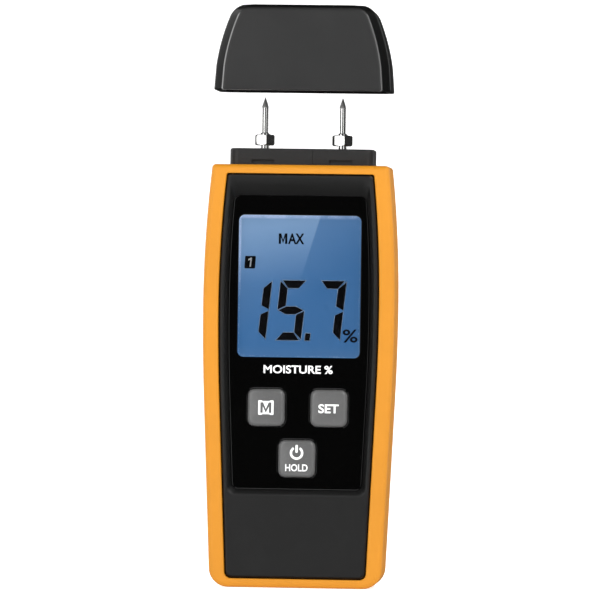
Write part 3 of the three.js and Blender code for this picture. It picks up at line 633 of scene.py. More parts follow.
def display_glow(name, glow, glare_tint):
    """Backlit display under a painted reflection: a paler glare in the upper left that fades down, a
    slanting edge that parts it from the deeper blue on the right, and a painted highlight on the top and
    left edges."""
    f = Finish(name, Roughness=0.35, Specular_IOR_Level=0.2)
    half_width, half_height = WINDOW_HIGH[0] * MM, (WINDOW_HIGH[2] - WINDOW_MIDDLE) * MM
    # colour of the painted highlight along the top and left edges
    edge_highlight_colour = (0.50, 0.60, 0.84)
    x, z = f.axis(0), f.axis(2) - WINDOW_MIDDLE * MM
    # painted reflection: the glare left of a slanting edge, fading down, and paler towards the upper left
    # corner
    left = f.spread(x - z * 0.304 + 0.0005, -0.00025, 0.00025, 1.0, 0.0)
    fade = f.spread(z, 0.001, 0.024, 0.0, 1.0)
    corner = f.spread(x * -0.6 + z, -0.004, 0.031, 0.0, 1.0)
    cloud = f.noise(9, 3, 0.5)
    foot = f.spread(z, -half_height, -half_height + 0.0035, 1.0, 0.0)
    base = f.blend(f.spread(x, -0.02, 0.02, 0.0, 1.0), shade(glow, 1.08), shade(glow, 0.96))
    pale = f.blend((left * fade * 0.75 + corner * 0.45 + cloud * 0.08).clamped(), base, glare_tint)
    # a strip along the bottom edge is blended a little towards a darker glare tint
    low = f.blend(foot * 0.15, pale, shade(glare_tint, 0.8))
    # painted highlight: a streaky line inside the top edge, stronger on the left, and a line down the upper
    # part of the left edge
    crest = f.spread(z, half_height - 0.0010, half_height - 0.0002, 0.0, 1.0)
    streak = f.spread(f.noise(3.2, 2), 0.35, 0.65, 0.45, 1.0)
    flank_line = f.spread(x * -1.0, half_width - 0.0004, half_width - 0.0001, 0.0, 1.0)
    edge_highlight_mask = crest * streak * f.spread(x, -0.018, 0.016, 1.0, 0.3)
    edge_highlight_mask += flank_line * f.spread(z, -0.004, 0.012, 0.0, 0.5)
    lit = f.blend(edge_highlight_mask.clamped(), low, edge_highlight_colour)
    return f.set(
        Base_Color=f.blend(0.5, lit, (0.01, 0.02, 0.04)),
        Emission_Color=lit,
        Emission_Strength=0.92,
    ).material


def circuit(name):
    """Solder mask over copper: straight tracks as the cell edges of a squared pattern, and pads."""
    f = Finish(name, Roughness=0.35)
    squared = f.node("ShaderNodeTexVoronoi", {"feature": "F1", "distance": "CHEBYCHEV"},
                     {"Vector": f.place, "Scale": 1 / (3.1 * MM), "Randomness": 0.8})
    track = f.spread((squared * 18.0).maths("FRACT"), 0.42, 0.5, 0.0, 1.0) * 0.55
    pad = f.spread(squared, 0.05, 0.07, 1.0, 0.0)
    mask = f.blend(track, (0.006, 0.085, 0.03), (0.02, 0.19, 0.06))
    return f.set(
        Base_Color=f.blend(pad, mask, (0.62, 0.60, 0.55)),
        Metallic=pad,
        Normal=f.relief(track + pad * 0.4, 0.035),
    ).material


def cell_sleeve(name):
    """Battery sleeve: dark film with a pale band near each end, and fine rules printed round it."""
    f = Finish(name, Metallic=0.3)
    z = f.axis(2)
    middle = (CELLS_LOW[2] + CELLS_HIGH[2]) / 2 * MM
    band = f.spread((z - middle).maths("ABSOLUTE"), 0.0120, 0.0122, 0.0, 1.0)
    rules = f.spread((z * 900.0).maths("FRACT"), 0.86, 0.9, 0.0, 1.0) * (1 - band)
    base = f.blend(band, (0.012, 0.03, 0.09), (0.55, 0.40, 0.16))
    return f.set(
        Base_Color=f.blend(rules * 0.4, base, (0.35, 0.4, 0.45)),
        Roughness=f.spread(f.noise(1.5, 3), 0.3, 0.7, 0.22, 0.38),
        Normal=f.relief(f.noise(3.5, 2), 0.03),
    ).material


def foam(name):
    """Open foam: round pores at two sizes, their hollows darkened by painted shade."""
    f = Finish(name, Roughness=0.95)
    # pores is low in each pore's hollow, where the colour below darkens it as painted shade
    pores = f.cells(0.55) + f.cells(0.22) * 0.5
    return f.set(
        Base_Color=f.blend(pores.clamped(), (0.012, 0.012, 0.013), (0.07, 0.07, 0.075)),
        Normal=f.relief(pores, 0.25),
    ).material


def make_finishes():
    """Every finish by name, in the colours of the settings."""
    s = bpy.context.scene.meter_finishes
    return {
        "surround": moulded("orange_moulded", s.surround, 0.16, 0.014, 0.46, mottle=0.035, sheen=0.3),
        "case": moulded("black_sparked", s.case, 0.20, 0.030, 0.50),
        "cap": cap_plastic("black_cap", s.cap),
        "head": moulded("black_head", shade(s.case, 2.3), 0.20, 0.025, 0.48),
        "panel": polished_black("gloss_black", s.panel),
        "key": moulded("key_grey", s.key, 0.30, 0.004, 0.21, mottle=0.06),
        "legend": printed("white_print", s.legend),
        "segment": printed("display_black", (0.0020, 0.0018, 0.0035), 0.05),
        "fringe": printed("display_fringe", (0.42, 0.55, 0.72), 0.1),
        "window": clear_window("clear_acrylic"),
        "glow": display_glow("display_glow", s.glow, s.glare_tint),
        "steel": metal("turned_steel", s.steel, 0.13, (1, 1, 14), 0.5, ground_above=156.2),
        "zinc": metal("zinc_plate", (0.58, 0.58, 0.56), 0.30),
        "brass": metal("machined_brass", (0.72, 0.50, 0.20), 0.24, (1, 1, 10), 0.5),
        "white": moulded("white_moulded", (0.74, 0.74, 0.70), 0.3, 0.006, 0.35, mottle=0.03),
        "chip": moulded("chip_epoxy", (0.012, 0.012, 0.013), 0.12, 0.012, 0.55),
        "soft": moulded("soft_grey", (0.05, 0.05, 0.055), 0.4, 0.02, 0.8),
        "board": circuit("green_board"),
        "sleeve": cell_sleeve("cell_film"),
        "foam": foam("grey_foam"),
        "red": moulded("red_sleeve", (0.42, 0.02, 0.015), 0.5, 0.01, 0.4),
        "blue": moulded("blue_sleeve", (0.015, 0.05, 0.35), 0.5, 0.01, 0.4),
    }


FINISHES = {}


def finish_named(name):
    """The finish of that name. All of them are made when the first one is asked for."""
    if not FINISHES:
        FINISHES.update(make_finishes())
    return FINISHES[name]


def combine(made, parts, operation):
    """Joins closed surfaces or meshes to a piece, or cuts them out of it, one after the other."""
    for part in parts:
        mesh = part if isinstance(part, bpy.types.Mesh) else new_mesh("tool", [part])
        tool = new_object("tool", mesh)
        change = made.modifiers.new("change", "BOOLEAN")
        change.operation, change.solver, change.object = operation, "MANIFOLD", tool
        apply_modifiers(made)
        bpy.data.objects.remove(tool)


def soften(made, edge=0.0, sharp=SHARP_ANGLE):
    """Rounds the clear edges of a piece, and lets flat faces keep flat shading."""
    if edge:
        bevel = made.modifiers.new("edges", "BEVEL")
        bevel.width, bevel.segments, bevel.limit_method = edge * MM, 2, "ANGLE"
        bevel.angle_limit = math.radians(40)
        bevel.use_clamp_overlap = True
        apply_modifiers(made)
    made.data.shade_smooth()
    made.data.set_sharp_from_angle(angle=math.radians(sharp))
    weigh = made.modifiers.new("weigh", "WEIGHTED_NORMAL")
    weigh.keep_sharp = True
    apply_modifiers(made)


# ------------------------------------------------------------------ casing

def case_ring(side, end, foot, shoulder, y):
    """Ring at an equal distance end from the bottom and the top of the case."""
    return outline(side, end, CASE_HEIGHT - end, foot, shoulder, y)


def head_ring(grow, z):
    """Plan of the electrode head, grown on every side, as a ring at one height."""
    plan = rounded_rectangle(HEAD_WIDTH + 2 * grow, HEAD_DEPTH + 2 * grow, HEAD_CORNER + grow)
    return level(plan + (0, HEAD_MIDDLE), z)


def surround_surface():
    """The surround's profile carried round the case outline: back edge, flank, rounded front edge,
    lip, rounded lip edge, and the wall of the cavity behind it."""
    edge = setting("surround_edge")
    back_round, lip_round = 0.5, 0.7
    lip_foot, lip_shoulder = 2.2, 0.8
    cavity_y = CASE_FRONT + 2.6

    def outer(inset, y):
        return case_ring(inset, inset, FOOT - inset, SHOULDER - inset / 2, y)

    rings = [outer(back_round * (1 - math.sin(t)), FRAME_HIGH[1] - back_round * (1 - math.cos(t)))
             for t in arc(0, 90, 4)]
    rings += [outer(edge * (1 - math.cos(t)), FRONT + edge * (1 - math.sin(t))) for t in arc(0, 90, 8)]

    def lip(share, y):
        side = edge + (LIP_SIDE - edge) * share
        end = edge + (LIP_END - edge) * share
        foot = FOOT - edge + (lip_foot - FOOT + edge) * share
        shoulder = SHOULDER - edge / 2 + (lip_shoulder - SHOULDER + edge / 2) * share
        return case_ring(side, end, foot, shoulder, y)

    flat_end = 0.83
    rings += [lip(0.05, FRONT), lip(flat_end - 0.04, FRONT)]
    rings += [lip(flat_end + (1 - flat_end) * math.sin(t), FRONT + lip_round * (1 - math.cos(t)))
              for t in arc(0, 90, 6)]
    rings += [lip(1.0, FRONT + lip_round + 0.1), lip(1.0, cavity_y)]
    for y in (cavity_y, cavity_y + 0.1, FRAME_HIGH[1] - 0.1, FRAME_HIGH[1]):
        rings.append(case_ring(WALL, WALL, 4.0, 0.8, y))
    return skin(rings, wrap=True)


def make_surround():
    made = piece("orange_surround", [surround_surface()], "surround",
                 replaces=["orange_frame"])
    neck = skin([head_ring(GAP, CASE_HEIGHT - 4), head_ring(GAP, CASE_HEIGHT + 1)])
    combine(made, [neck], "DIFFERENCE")
    soften(made)


SEAT_BACK = -9.7
KEY_HOLE = 12.7
KEY_PLACES = {
    name: (box(f"key_{name}")[0] + box(f"key_{name}")[1]) / 2 for name in ("mode", "set", "hold")
}


def panel_ring(grow, corner, y):
    """Outline of the gloss panel, which follows the flanks, grown on every side."""
    return outline(PANEL_SIDE - grow, PANEL_LOW[2] - grow, PANEL_HIGH[2] + grow, corner, corner, y)


def panel_holes(window_grow):
    """Loops of the window opening and the three key openings, as (x, z) points."""
    width = WINDOW_HIGH[0] - WINDOW_LOW[0] + 2 * window_grow
    height = WINDOW_HIGH[2] - WINDOW_LOW[2] + 2 * window_grow
    loops = [rounded_rectangle(width, height, 1.9) + (0, WINDOW_MIDDLE)]
    for place in KEY_PLACES.values():
        loops.append(rounded_rectangle(KEY_HOLE, KEY_HOLE, 2.55) + place[[0, 2]])
    return loops


def front_shell_surface():
    """Front case as a swept ring: flange, plug side, rounded edge, face, then a bevel that starts flat
    and grows steeper down to the panel's seat: y falls as a quarter cosine from rim to panel."""
    edge, rim = setting("case_edge"), setting("recess_rim")
    front, flange_y = CASE_FRONT, -11.7
    side, end = LIP_SIDE + GAP, LIP_END + GAP
    floor_y, seat_y = PANEL_LOW[1] + 0.2, PANEL_HIGH[1] + 0.1
    rings = [
        case_ring(WALL + GAP, WALL + GAP, 3.7, 0.6, SEAT_BACK),
        case_ring(WALL + GAP, WALL + GAP, 3.7, 0.6, flange_y),
        case_ring(side, end, 1.9, 0.9, flange_y),
    ]
    for t in arc(0, 90, 6):
        inset = edge * (1 - math.cos(t))
        rings.append(case_ring(side + inset, end + inset, 1.9, 0.9, front + edge * (1 - math.sin(t))))
    rim_bottom, rim_top = 29.8, 133.9
    rim_ring = outline(side + rim + 0.1, rim_bottom, rim_top, 2.6, 2.6, 0.0)
    face_ring = case_ring(side + edge, end + edge, 1.9, 0.9, 0.0)
    inner_ring = panel_ring(GAP, 2.3, 0.0)

    def between(first, second, share, y):
        ring = first + (second - first) * share
        ring[:, 1] = y
        return ring

    rings += [between(face_ring, rim_ring, share, front) for share in (0.3, 0.8, 0.97)]
    for share in np.linspace(0, 1, 13):
        sink = 1 - math.cos(math.pi / 2 * share)
        rings.append(between(rim_ring, inner_ring, share, front + (floor_y - front) * sink))
    rings += [between(inner_ring, inner_ring, 0, y) for y in (floor_y + 0.05, seat_y)]
    rings += [panel_ring(-0.7, 2.3, seat_y), panel_ring(-0.7, 2.3, SEAT_BACK)]
    return skin(rings, wrap=True)


def make_front_shell():
    made = piece("front_shell", [front_shell_surface()], "case",
                 replaces=["front_case"])
    loops = [panel_ring(-0.2, 2.3, 0.0)[:, [0, 2]], *panel_holes(0.5)]
    seat = sheet_mesh("seat", loops, PANEL_HIGH[1] + 0.15, SEAT_BACK - 0.1, edge=0.02)
    combine(made, [seat], "UNION")
    pillars = [screw_pillar(x, z, radius=3.0, bore=1.6, back=5.5) for x, z in CASE_SCREW_PLACES]
    pillars += [screw_pillar(x, z, radius=2.2, bore=1.1, back=-3.9) for x, z in BOARD_SCREW_PLACES]
    combine(made, pillars, "UNION")
    soften(made)


def screw_places(group):
    """(x, z) of each screw in a group of nodes."""
    places = []
    for index in range(1, 5):
        low, high = box(f"{group}_{index}")
        places.append(((low[0] + high[0]) / 2, (low[2] + high[2]) / 2))
    return places


CASE_SCREW_PLACES = screw_places("case_screw")
BOARD_SCREW_PLACES = screw_places("board_screw")


def screw_pillar(x, z, radius, bore, back):
    """Pillar along Y from the seat, a little thinner at its back end, with a blind bore from there."""
    front = SEAT_BACK - 0.3
    bottom = front + 2.5
    profile = [(0, front), (radius, front), (radius * 0.94, back - 0.3), (radius * 0.94 - 0.3, back),
               (bore + 0.2, back), (bore, back - 0.2), (bore, bottom), (0, bottom)]
    return lathe_along_y(profile, x, z, 28)


def make_panel():
    loops = [panel_ring(0, 2.0, 0.0)[:, [0, 2]], *panel_holes(GAP)]
    mesh = sheet_mesh("gloss_face", loops, PANEL_LOW[1], PANEL_HIGH[1], edge=0.16, sharp=14)
    finish_piece(new_object("gloss_face", mesh), "panel",
                 replaces=["gloss_panel"])


def make_window():
    width, height = WINDOW_HIGH[0] - WINDOW_LOW[0], WINDOW_HIGH[2] - WINDOW_LOW[2]
    loop = rounded_rectangle(width, height, 1.6) + (0, WINDOW_MIDDLE)
    mesh = sheet_mesh("clear_window", [loop], WINDOW_LOW[1], WINDOW_HIGH[1], edge=0.12, sharp=14)
    finish_piece(new_object("clear_window", mesh), "window",
                 replaces=["display_window"])


# ------------------------------------------------------------------ display

SEGMENT_SLANT = 0.104
DIGIT_WIDTH, DIGIT_HEIGHT = 8.7, 19.4
DIGIT_BASE = WINDOW_MIDDLE - 17.5
DIGIT_LEFTS = {"1": -19.8, "5": -8.2, "7": 4.5}
LIT_BARS = {"1": "bc", "5": "afgcd", "7": "abc"}
POINT_X = 2.7
ICON_PLACE = (-16.35, WINDOW_MIDDLE + 7.7)
MOST_Z, MOST_INITIAL_X, MOST_REST_X = WINDOW_MIDDLE + 15.5, -5.7, -1.4
PERCENT_PLACE = (16.6, WINDOW_MIDDLE - 15.9)
PRINT_Y = LCD_LOW[1] - 0.03


def segment_outlines(grow):
    """Corner points of the seven bars of one figure, before the slant, with mitred ends a small
    gap apart. Bars run a top, b and c right, d bottom, e and f left, g middle."""
    thick, gap = setting("segment_width") + 2 * grow, 0.30 - grow
    w, h = DIGIT_WIDTH + 2 * grow, DIGIT_HEIGHT + 2 * grow
    half, tip, end = h / 2, thick / 2, gap + 0.35
    top = [(end, h), (w - end, h), (w - thick - gap * 0.5, h - thick), (thick + gap * 0.5, h - thick)]
    middle = [(gap, half), (thick + gap, half + tip), (w - thick - gap, half + tip), (w - gap, half),
              (w - thick - gap, half - tip), (thick + gap, half - tip)]
    upper_right = [(w, h - gap), (w, half + gap * 0.8), (w - thick, half + tip + gap * 0.8),
                   (w - thick, h - thick - gap * 0.6)]
    lower_right = [(x, h - z) for x, z in upper_right]
    bars = {
        "a": top, "g": middle, "b": upper_right, "c": lower_right,
        "d": [(x, h - z) for x, z in top],
        "f": [(w - x, z) for x, z in upper_right],
        "e": [(w - x, z) for x, z in lower_right],
    }
    return {name: np.array(points) - grow for name, points in bars.items()}


def letter_m(x, z, width, height, stroke):
    """Outline of a capital M centred on (x, z): two legs and a V that hangs between them."""
    half, top = width / 2, height / 2
    dip = top - 0.62 * height
    right = [(0, dip), (half - 1.1 * stroke, top), (half, top), (half, -top), (half - stroke, -top),
             (half - stroke, top - 1.7 * stroke), (0, dip - 1.6 * stroke)]
    left = [(-u, v) for u, v in right[5:0:-1]]
    return np.array(right + left) + (x, z)


def slanted(points, x, z, slant=SEGMENT_SLANT):
    """Leans (x, z) points over to the right and moves them to their place."""
    return np.stack([points[:, 0] + points[:, 1] * slant + x, points[:, 1] + z], -1)


def figure_loops(grow):
    """Every lit bar of the reading and its decimal point, slanted and in place on the display."""
    bars = segment_outlines(grow)
    loops = [slanted(bars[name], left, DIGIT_BASE)
             for figure, left in DIGIT_LEFTS.items() for name in LIT_BARS[figure]]
    point = rounded_rectangle(1.6 + 2 * grow, 2.3 + 2 * grow, 0.2, 3)
    return [*loops, slanted(point, POINT_X, DIGIT_BASE + 1.1)]


def make_display():
    low, high = LCD_LOW, LCD_HIGH
    middle = ((low[0] + high[0]) / 2, (low[2] + high[2]) / 2)
    loop = rounded_rectangle(high[0] - low[0], high[2] - low[2], 0.4, 3) + middle
    plate = sheet_mesh("display_plate", [loop], low[1], high[1], edge=0.15, sharp=14)
    finish_piece(new_object("display_plate", plate), "glow", replaces=["lcd_glass"])

    fringe = sheet_mesh("display_fringe", figure_loops(0.2), PRINT_Y + 0.006, PRINT_Y + 0.024, edge=0.002)
    finish_piece(new_object("display_fringe", fringe), "fringe")

    icon = slanted(rounded_rectangle(3.5, 4.1, 0.3, 3), *ICON_PLACE, slant=0.06)
    initial = letter_m(MOST_INITIAL_X, MOST_Z, width=2.8, height=3.4, stroke=0.72)
    loops = [*figure_loops(0.0), icon, initial]
    bars = sheet_mesh("display_bars", loops, PRINT_Y - 0.02, PRINT_Y, edge=0.004)
    most = words("display_most", "AX", 3.3, MOST_REST_X, MOST_Z, PRINT_Y, width=5.3, thick=0.02, weight=0.14)
    percent = words("display_percent", "%", 4.1, *PERCENT_PLACE, PRINT_Y, width=4.9, thick=0.02, weight=0.09)
    mesh = merge_meshes("display_figures", [bars, most, percent])
    finish_piece(new_object("display_figures", mesh), "segment")

    figure_one = np.array([(-0.05, -1.45), (0.45, -1.45), (0.45, 1.5), (0.05, 1.5), (-0.75, 0.95),
                           (-0.6, 0.5), (-0.05, 0.8)])
    one = sheet_mesh("icon_figure", [slanted(figure_one, *ICON_PLACE)], PRINT_Y - 0.045, PRINT_Y - 0.025,
                     edge=0.004)
    finish_piece(new_object("icon_figure", one), "legend")


def make_title():
    height, z, y = 2.5, 71.0, PANEL_LOW[1] - 0.02
    mesh = words("panel_title", "MOISTURE %", height, 0.0, z, y, width=22.5, weight=0.07)
    finish_piece(new_object("panel_title", mesh), "legend")


# ------------------------------------------------------------------ keys

KEY_WIDTH, KEY_CORNER, KEY_EDGE = 12.1, 2.25, 1.1
KEY_FRONT, KEY_BACK = -14.5, -9.4
KEY_FLANGE, KEY_FLANGE_THICK = 14.0, 0.9


def key_height(dx, dz):
    """Drop of the key's face behind its middle: dome * (a^2 + b^2 - a^2 b^2), for a and b the
    distances from the middle as shares of the half width."""
    a, b = (dx / (KEY_WIDTH / 2)) ** 2, (dz / (KEY_WIDTH / 2)) ** 2
    return setting("key_dome") * (a + b - a * b)


def key_surface(x, z):
    """Rounded squares from back to front: the flange, the straight side, a quarter-round edge, then
    the dome that key_height gives."""
    edge = KEY_EDGE
    flange = rounded_rectangle(KEY_FLANGE, KEY_FLANGE, 2.0) + (x, z)
    rings = [upright(flange, KEY_BACK + KEY_FLANGE_THICK), upright(flange, KEY_BACK)]
    plan = rounded_rectangle(KEY_WIDTH, KEY_WIDTH, KEY_CORNER) + (x, z)
    rings += [upright(plan, y) for y in (KEY_BACK, KEY_FRONT + setting("key_dome") + edge + 0.1)]
    insets = [edge * (1 - math.cos(t)) for t in arc(0, 90, 7)] + list(np.linspace(edge + 0.2, 6.0, 14))
    for inset in insets:
        width = KEY_WIDTH - 2 * inset
        plan = rounded_rectangle(width, width, min(KEY_CORNER - 0.3 * inset, width * 0.49))
        sunk = edge - math.sqrt(max(edge ** 2 - max(edge - inset, 0) ** 2, 0))
        y = KEY_FRONT + key_height(plan[:, 0], plan[:, 1]) + sunk
        rings.append(np.stack([plan[:, 0] + x, y, plan[:, 1] + z], -1))
    return skin(rings)


def lay_on_key(mesh, place):
    """Moves flat print onto the domed face of the key that it belongs to."""
    points = mesh_points(mesh)
    points[:, 1] += key_height(points[:, 0] - place[0], points[:, 2] - place[2])
    mesh.vertices.foreach_set("co", (points * MM).ravel())
    mesh.update()
    return mesh


def power_sign(x, z):
    """Open ring with a bar in its gap: an arc of a band, and a short upright."""
    outer, inner = 2.2, 1.45
    turn = arc(122, 418, 30)
    ring = np.vstack([
        outer * np.stack([np.cos(turn), np.sin(turn)], -1),
        inner * np.stack([np.cos(turn), np.sin(turn)], -1)[::-1],
    ])
    bar = rounded_rectangle(0.8, 2.5, 0.2, 3) + (0, 1.35)
    return [ring + (x, z), bar + (x, z)]


def key_legend(name, place):
    """Print on one key, as a single mesh. The mode key's square is a stack of rings, so that it can
    follow the dome."""
    x, z = place[0], place[2]
    front, y, back = KEY_FRONT - 0.04, KEY_FRONT - 0.02, KEY_FRONT
    if name == "set":
        return words("set_words", "SET", 2.75, x, z - 0.1, y, width=6.6, weight=0.1)
    if name == "mode":
        plan = rounded_rectangle(5.0, 4.7, 0.25, 16)
        shares = np.linspace(0.04, 1, 12)
        rings = [upright(plan * share + (x, z), front) for share in shares]
        rings += [upright(plan * share + (x, z), back) for share in shares[::-1]]
        return new_mesh("mode_square", [skin(rings)])
    sign = sheet_mesh("hold_sign", power_sign(x, z + 1.9), front, back, edge=0.008)
    below = words("hold_words", "HOLD", 2.2, x, z - 2.9, y, width=7.3)
    return merge_meshes("hold_print", [sign, below])


def make_keys():
    for name, place in KEY_PLACES.items():
        body = f"{name}_key"
        piece(f"{name}_button", [key_surface(place[0], place[2])], "key", body,
              [f"key_{name}"])
        legend = lay_on_key(key_legend(name, place), place)
        finish_piece(new_object(f"{name}_legend", legend), "legend", body)
    place = KEY_PLACES["mode"]
    loop = letter_m(place[0], place[2], width=3.6, height=3.4, stroke=0.8)
    letter = sheet_mesh("mode_letter", [loop], KEY_FRONT - 0.075, KEY_FRONT - 0.045, edge=0.006)
    finish_piece(new_object("mode_letter", lay_on_key(letter, place)), "key", "mode_key")


# ------------------------------------------------------------------ head, electrodes and cap

HEAD_JOIN = 134.4
HEX_LOW, HEX_HIGH, HEX_APOTHEM = 144.0, 147.5, 3.0
HEX_TURN = {"left": 11, "right": 18}


def head_surface():
    """Rounded rectangles stacked upwards, drawn in at the top by a quarter round."""
    edge = 0.7
    rings = [head_ring(0, HEAD_JOIN)]
    for t in arc(0, 90, 6):
        rings.append(head_ring(-edge * (1 - math.cos(t)), HEAD_HIGH[2] - edge * (1 - math.sin(t))))
    return skin(rings)


def make_head():
    made = piece("head_moulding", [head_surface()], "head",
                 replaces=["electrode_head"])
    middle = HEAD_MIDDLE
    flange = block((-26, middle - 7, HEAD_JOIN - 0.5), (26, middle + 7, HEAD_JOIN + 0.6), 0.2)
    lower = block((-18.5, middle - 6, HEAD_LOW[2]), (18.5, middle + 6, HEAD_JOIN), 0.3)
    combine(made, [flange, lower], "UNION")
    bore_profile = [(0, 129), (3.3, 129), (3.3, 144), (0, 144)]
    front, back = middle - HEAD_DEPTH / 2, middle + HEAD_DEPTH / 2
    bores, slots = [], []
    for x in (-PIN_SPREAD, PIN_SPREAD):
        bores.append(lathe(bore_profile, (x, middle)))
        for face in (front, back):
            slots.append(block((x - 3.75, face - 0.8, 138), (x + 3.75, face + 0.8, 139.2), 0.1))
    parting = block((3.4, front - 0.3, 135.2), (3.62, front + 0.22, 144), 0.05)
    combine(made, [*bores, *slots, parting], "DIFFERENCE")
    soften(made, 0.10)


def electrode_surface(side, turned_by):
    """Needle, hexagon and stud as one surface round the pin's axis. The radius at a height is a
    circle's, or the lesser of a hexagon's, apothem / cos(angle from the face's middle), and the
    cone that chamfers its corners."""
    steps = 96
    angle = np.linspace(0, 2 * np.pi, steps, endpoint=False)
    from_face = (angle - turned_by + np.pi / 6) % (np.pi / 3) - np.pi / 6
    hexagon = HEX_APOTHEM / np.cos(from_face)
    low, high, bottom, tip = HEX_LOW, HEX_HIGH, PIN_LOW[2], PIN_HIGH[2]
    stud, washer, collar, shaft, taper = 1.5, 2.75, 1.75, 1.1, 156.5
    chamfer = np.array([0.25, 0.5, 0.75, 1.0])

    rows = [(stud - 0.1, bottom), (stud, bottom + 0.3), (stud, low - 0.05), (stud, low), (washer, low)]
    rows += [(np.minimum(hexagon, washer + 0.1 + 0.72 * share), low + 0.42 * share) for share in chamfer]
    rows.append((hexagon, (low + high) / 2))
    rows += [(np.minimum(hexagon, washer + 0.1 + 0.72 * share), high - 0.42 * share)
             for share in chamfer[::-1]]
    rows += [(washer, high), (collar, high), (collar, high + 0.35)]
    rows += [(collar - (collar - shaft) * math.sin(t), high + 0.35 + 0.45 * (1 - math.cos(t)))
             for t in arc(15, 90, 5)]
    rows += [(shaft, high + 1.2), (shaft, taper - 0.4)]
    rows += [(shaft * (1 - share ** 1.12), taper + (tip - taper) * share)
             for share in np.linspace(0, 0.985, 14)]
    rings = np.empty((len(rows), steps, 3))
    for row, (radius, z) in enumerate(rows):
        rings[row, :, 0] = radius * np.cos(angle) + side * PIN_SPREAD
        rings[row, :, 1] = radius * np.sin(angle) + HEAD_MIDDLE
        rings[row, :, 2] = z
    return skin(rings)


def make_electrodes():
    for name, side in (("left", -1), ("right", 1)):
        surface = electrode_surface(side, math.radians(HEX_TURN[name]))
        piece(f"electrode_{name}", [surface], "steel", replaces=[f"pin_{name}"],
              sharp=20)


def cap_half_width(height):
    """Half width of the cap above its mouth: a slow draft, then an arc that leans in."""
    draft_height, draft, radius, lean = 8, 0.55, 62, 0.13
    above = max(height - draft_height, 0)
    drafted = draft * min(height, draft_height) / draft_height
    return CAP_HALF - drafted - (radius - math.sqrt(radius ** 2 - above ** 2)) - above * lean


def softened_polygon(corners, reach, steps=5):
    """Polygon whose corners become parabolas that leave each side at a distance reach."""
    corners = np.asarray(corners, float)

    def towards(other):
        way = other - corners
        return corners + way / np.linalg.norm(way, axis=1)[:, None] * reach

    before, after = towards(np.roll(corners, 1, 0)), towards(np.roll(corners, -1, 0))
    t = np.linspace(0, 1, steps)[None, :, None]
    points = (1 - t) ** 2 * before[:, None] + 2 * t * (1 - t) * corners[:, None] + t ** 2 * after[:, None]
    return points.reshape(-1, 2)


def crown(height):
    """How far the outside has drawn in near the top: a quarter of an ellipse at the two ends, and a
    bevel with eased ends at the front and the back."""
    end_reach, end_height, bevel, bevel_height = 3.1, 4.0, 1.5, 1.9
    u = min(max((height - CAP_HEIGHT + end_height) / end_height, 0), 1)
    v = min(max((height - CAP_HEIGHT + bevel_height) / bevel_height, 0), 1)
    return end_reach * (1 - math.sqrt(1 - u * u)), bevel * v ** 1.25


def cap_ring(height, inset, reach, drawn_in=(0, 0)):
    """Section of the cap at a height, moved in by inset and by the crown's share at the ends and
    the faces, with bevelled and softened corners."""
    x = cap_half_width(height) - inset - drawn_in[0]
    y = CAP_DEPTH_HALF - 0.05 * height - inset - drawn_in[1]
    bevel = 3.2 - inset * 0.4
    short_x, short_y = x - bevel, y - bevel
    corners = [(x, -short_y), (x, short_y), (short_x, y), (-short_x, y),
               (-x, short_y), (-x, -short_y), (-short_x, -y), (short_x, -y)]
    return level(softened_polygon(corners, reach), CAP_BOTTOM + height)


def cap_surface():
    """From the ceiling down the inner wall, round the mouth's lip, and up the outer wall to the
    crown, whose flat top closes on the middle."""
    reach, inner_reach, lip = setting("cap_edge") * 1.4, 0.8, 0.45
    inside = [(25.4, CAP_WALL + 2.2), (25.0, CAP_WALL + 1.3)]
    inside += [(height, CAP_WALL) for height in (23, 20, 16, 12, 8, 4, 1, 0.3)]
    inside.append((0, CAP_WALL - 0.3))
    rings = [cap_ring(height, inset, inner_reach) for height, inset in inside]
    rings += [cap_ring(lip * (1 - math.cos(t)), lip * (1 - math.sin(t)), reach) for t in arc(0, 90, 5)]
    rings += [cap_ring(height, 0, reach) for height in (1, 2, 4, 6, 8, 10, 12, 14, 16, 18, 20, 22, 23.6)]
    rise = np.concatenate([np.linspace(4.0, 1.9, 9), [1.75, 1.4, 1.0, 0.7, 0.45, 0.25, 0.1]])
    rings += [cap_ring(CAP_HEIGHT - down, 0, reach, crown(CAP_HEIGHT - down)) for down in rise]
    across, along = crown(CAP_HEIGHT)
    rings += [cap_ring(CAP_HEIGHT, 0, reach, (across + more, along + more)) for more in (0.15, 3)]
    return skin(rings)


def make_cap():
    """The cap, with two ribs inside each end that grip the head."""
    made = piece("electrode_cap", [cap_surface()], "cap", "cap", ["pin_cap"])
    ribs = []
    for side in (-1, 1):
        ends = sorted((side * (HEAD_WIDTH / 2 + 0.4), side * 27.2))
        for y in (-5.5, 2.5):
            ribs.append(block((ends[0], y - 0.6, CAP_BOTTOM + 1), (ends[1], y + 0.6, CAP_BOTTOM + 9), 0.2))
    combine(made, ribs, "UNION")
    soften(made, sharp=40)


# ------------------------------------------------------------------ back, door and cells

DOOR_HALF, DOOR_BOTTOM, DOOR_TOP, DOOR_THICK = 17.0, 10.2, 61.6, 2.2
TAB_PLACES = (-10, 10)


def rear_surface():
    """Rear cover's outside: straight side, then an elliptic edge that runs into the flat back."""
    side, shoulder, edge_side, edge_depth = 0.6, 2.3, 3.0, 3.6
    edge_y = REAR_BACK - edge_depth
    rings = [case_ring(side, side, FOOT - 0.3, shoulder, y) for y in (REAR_FRONT, REAR_FRONT + 0.1, edge_y)]
    for t in arc(8, 90, 10):
        inset = side + edge_side * (1 - math.cos(t))
        rings.append(case_ring(inset, inset, FOOT - inset / 2, shoulder, edge_y + edge_depth * math.sin(t)))
    return skin(rings)


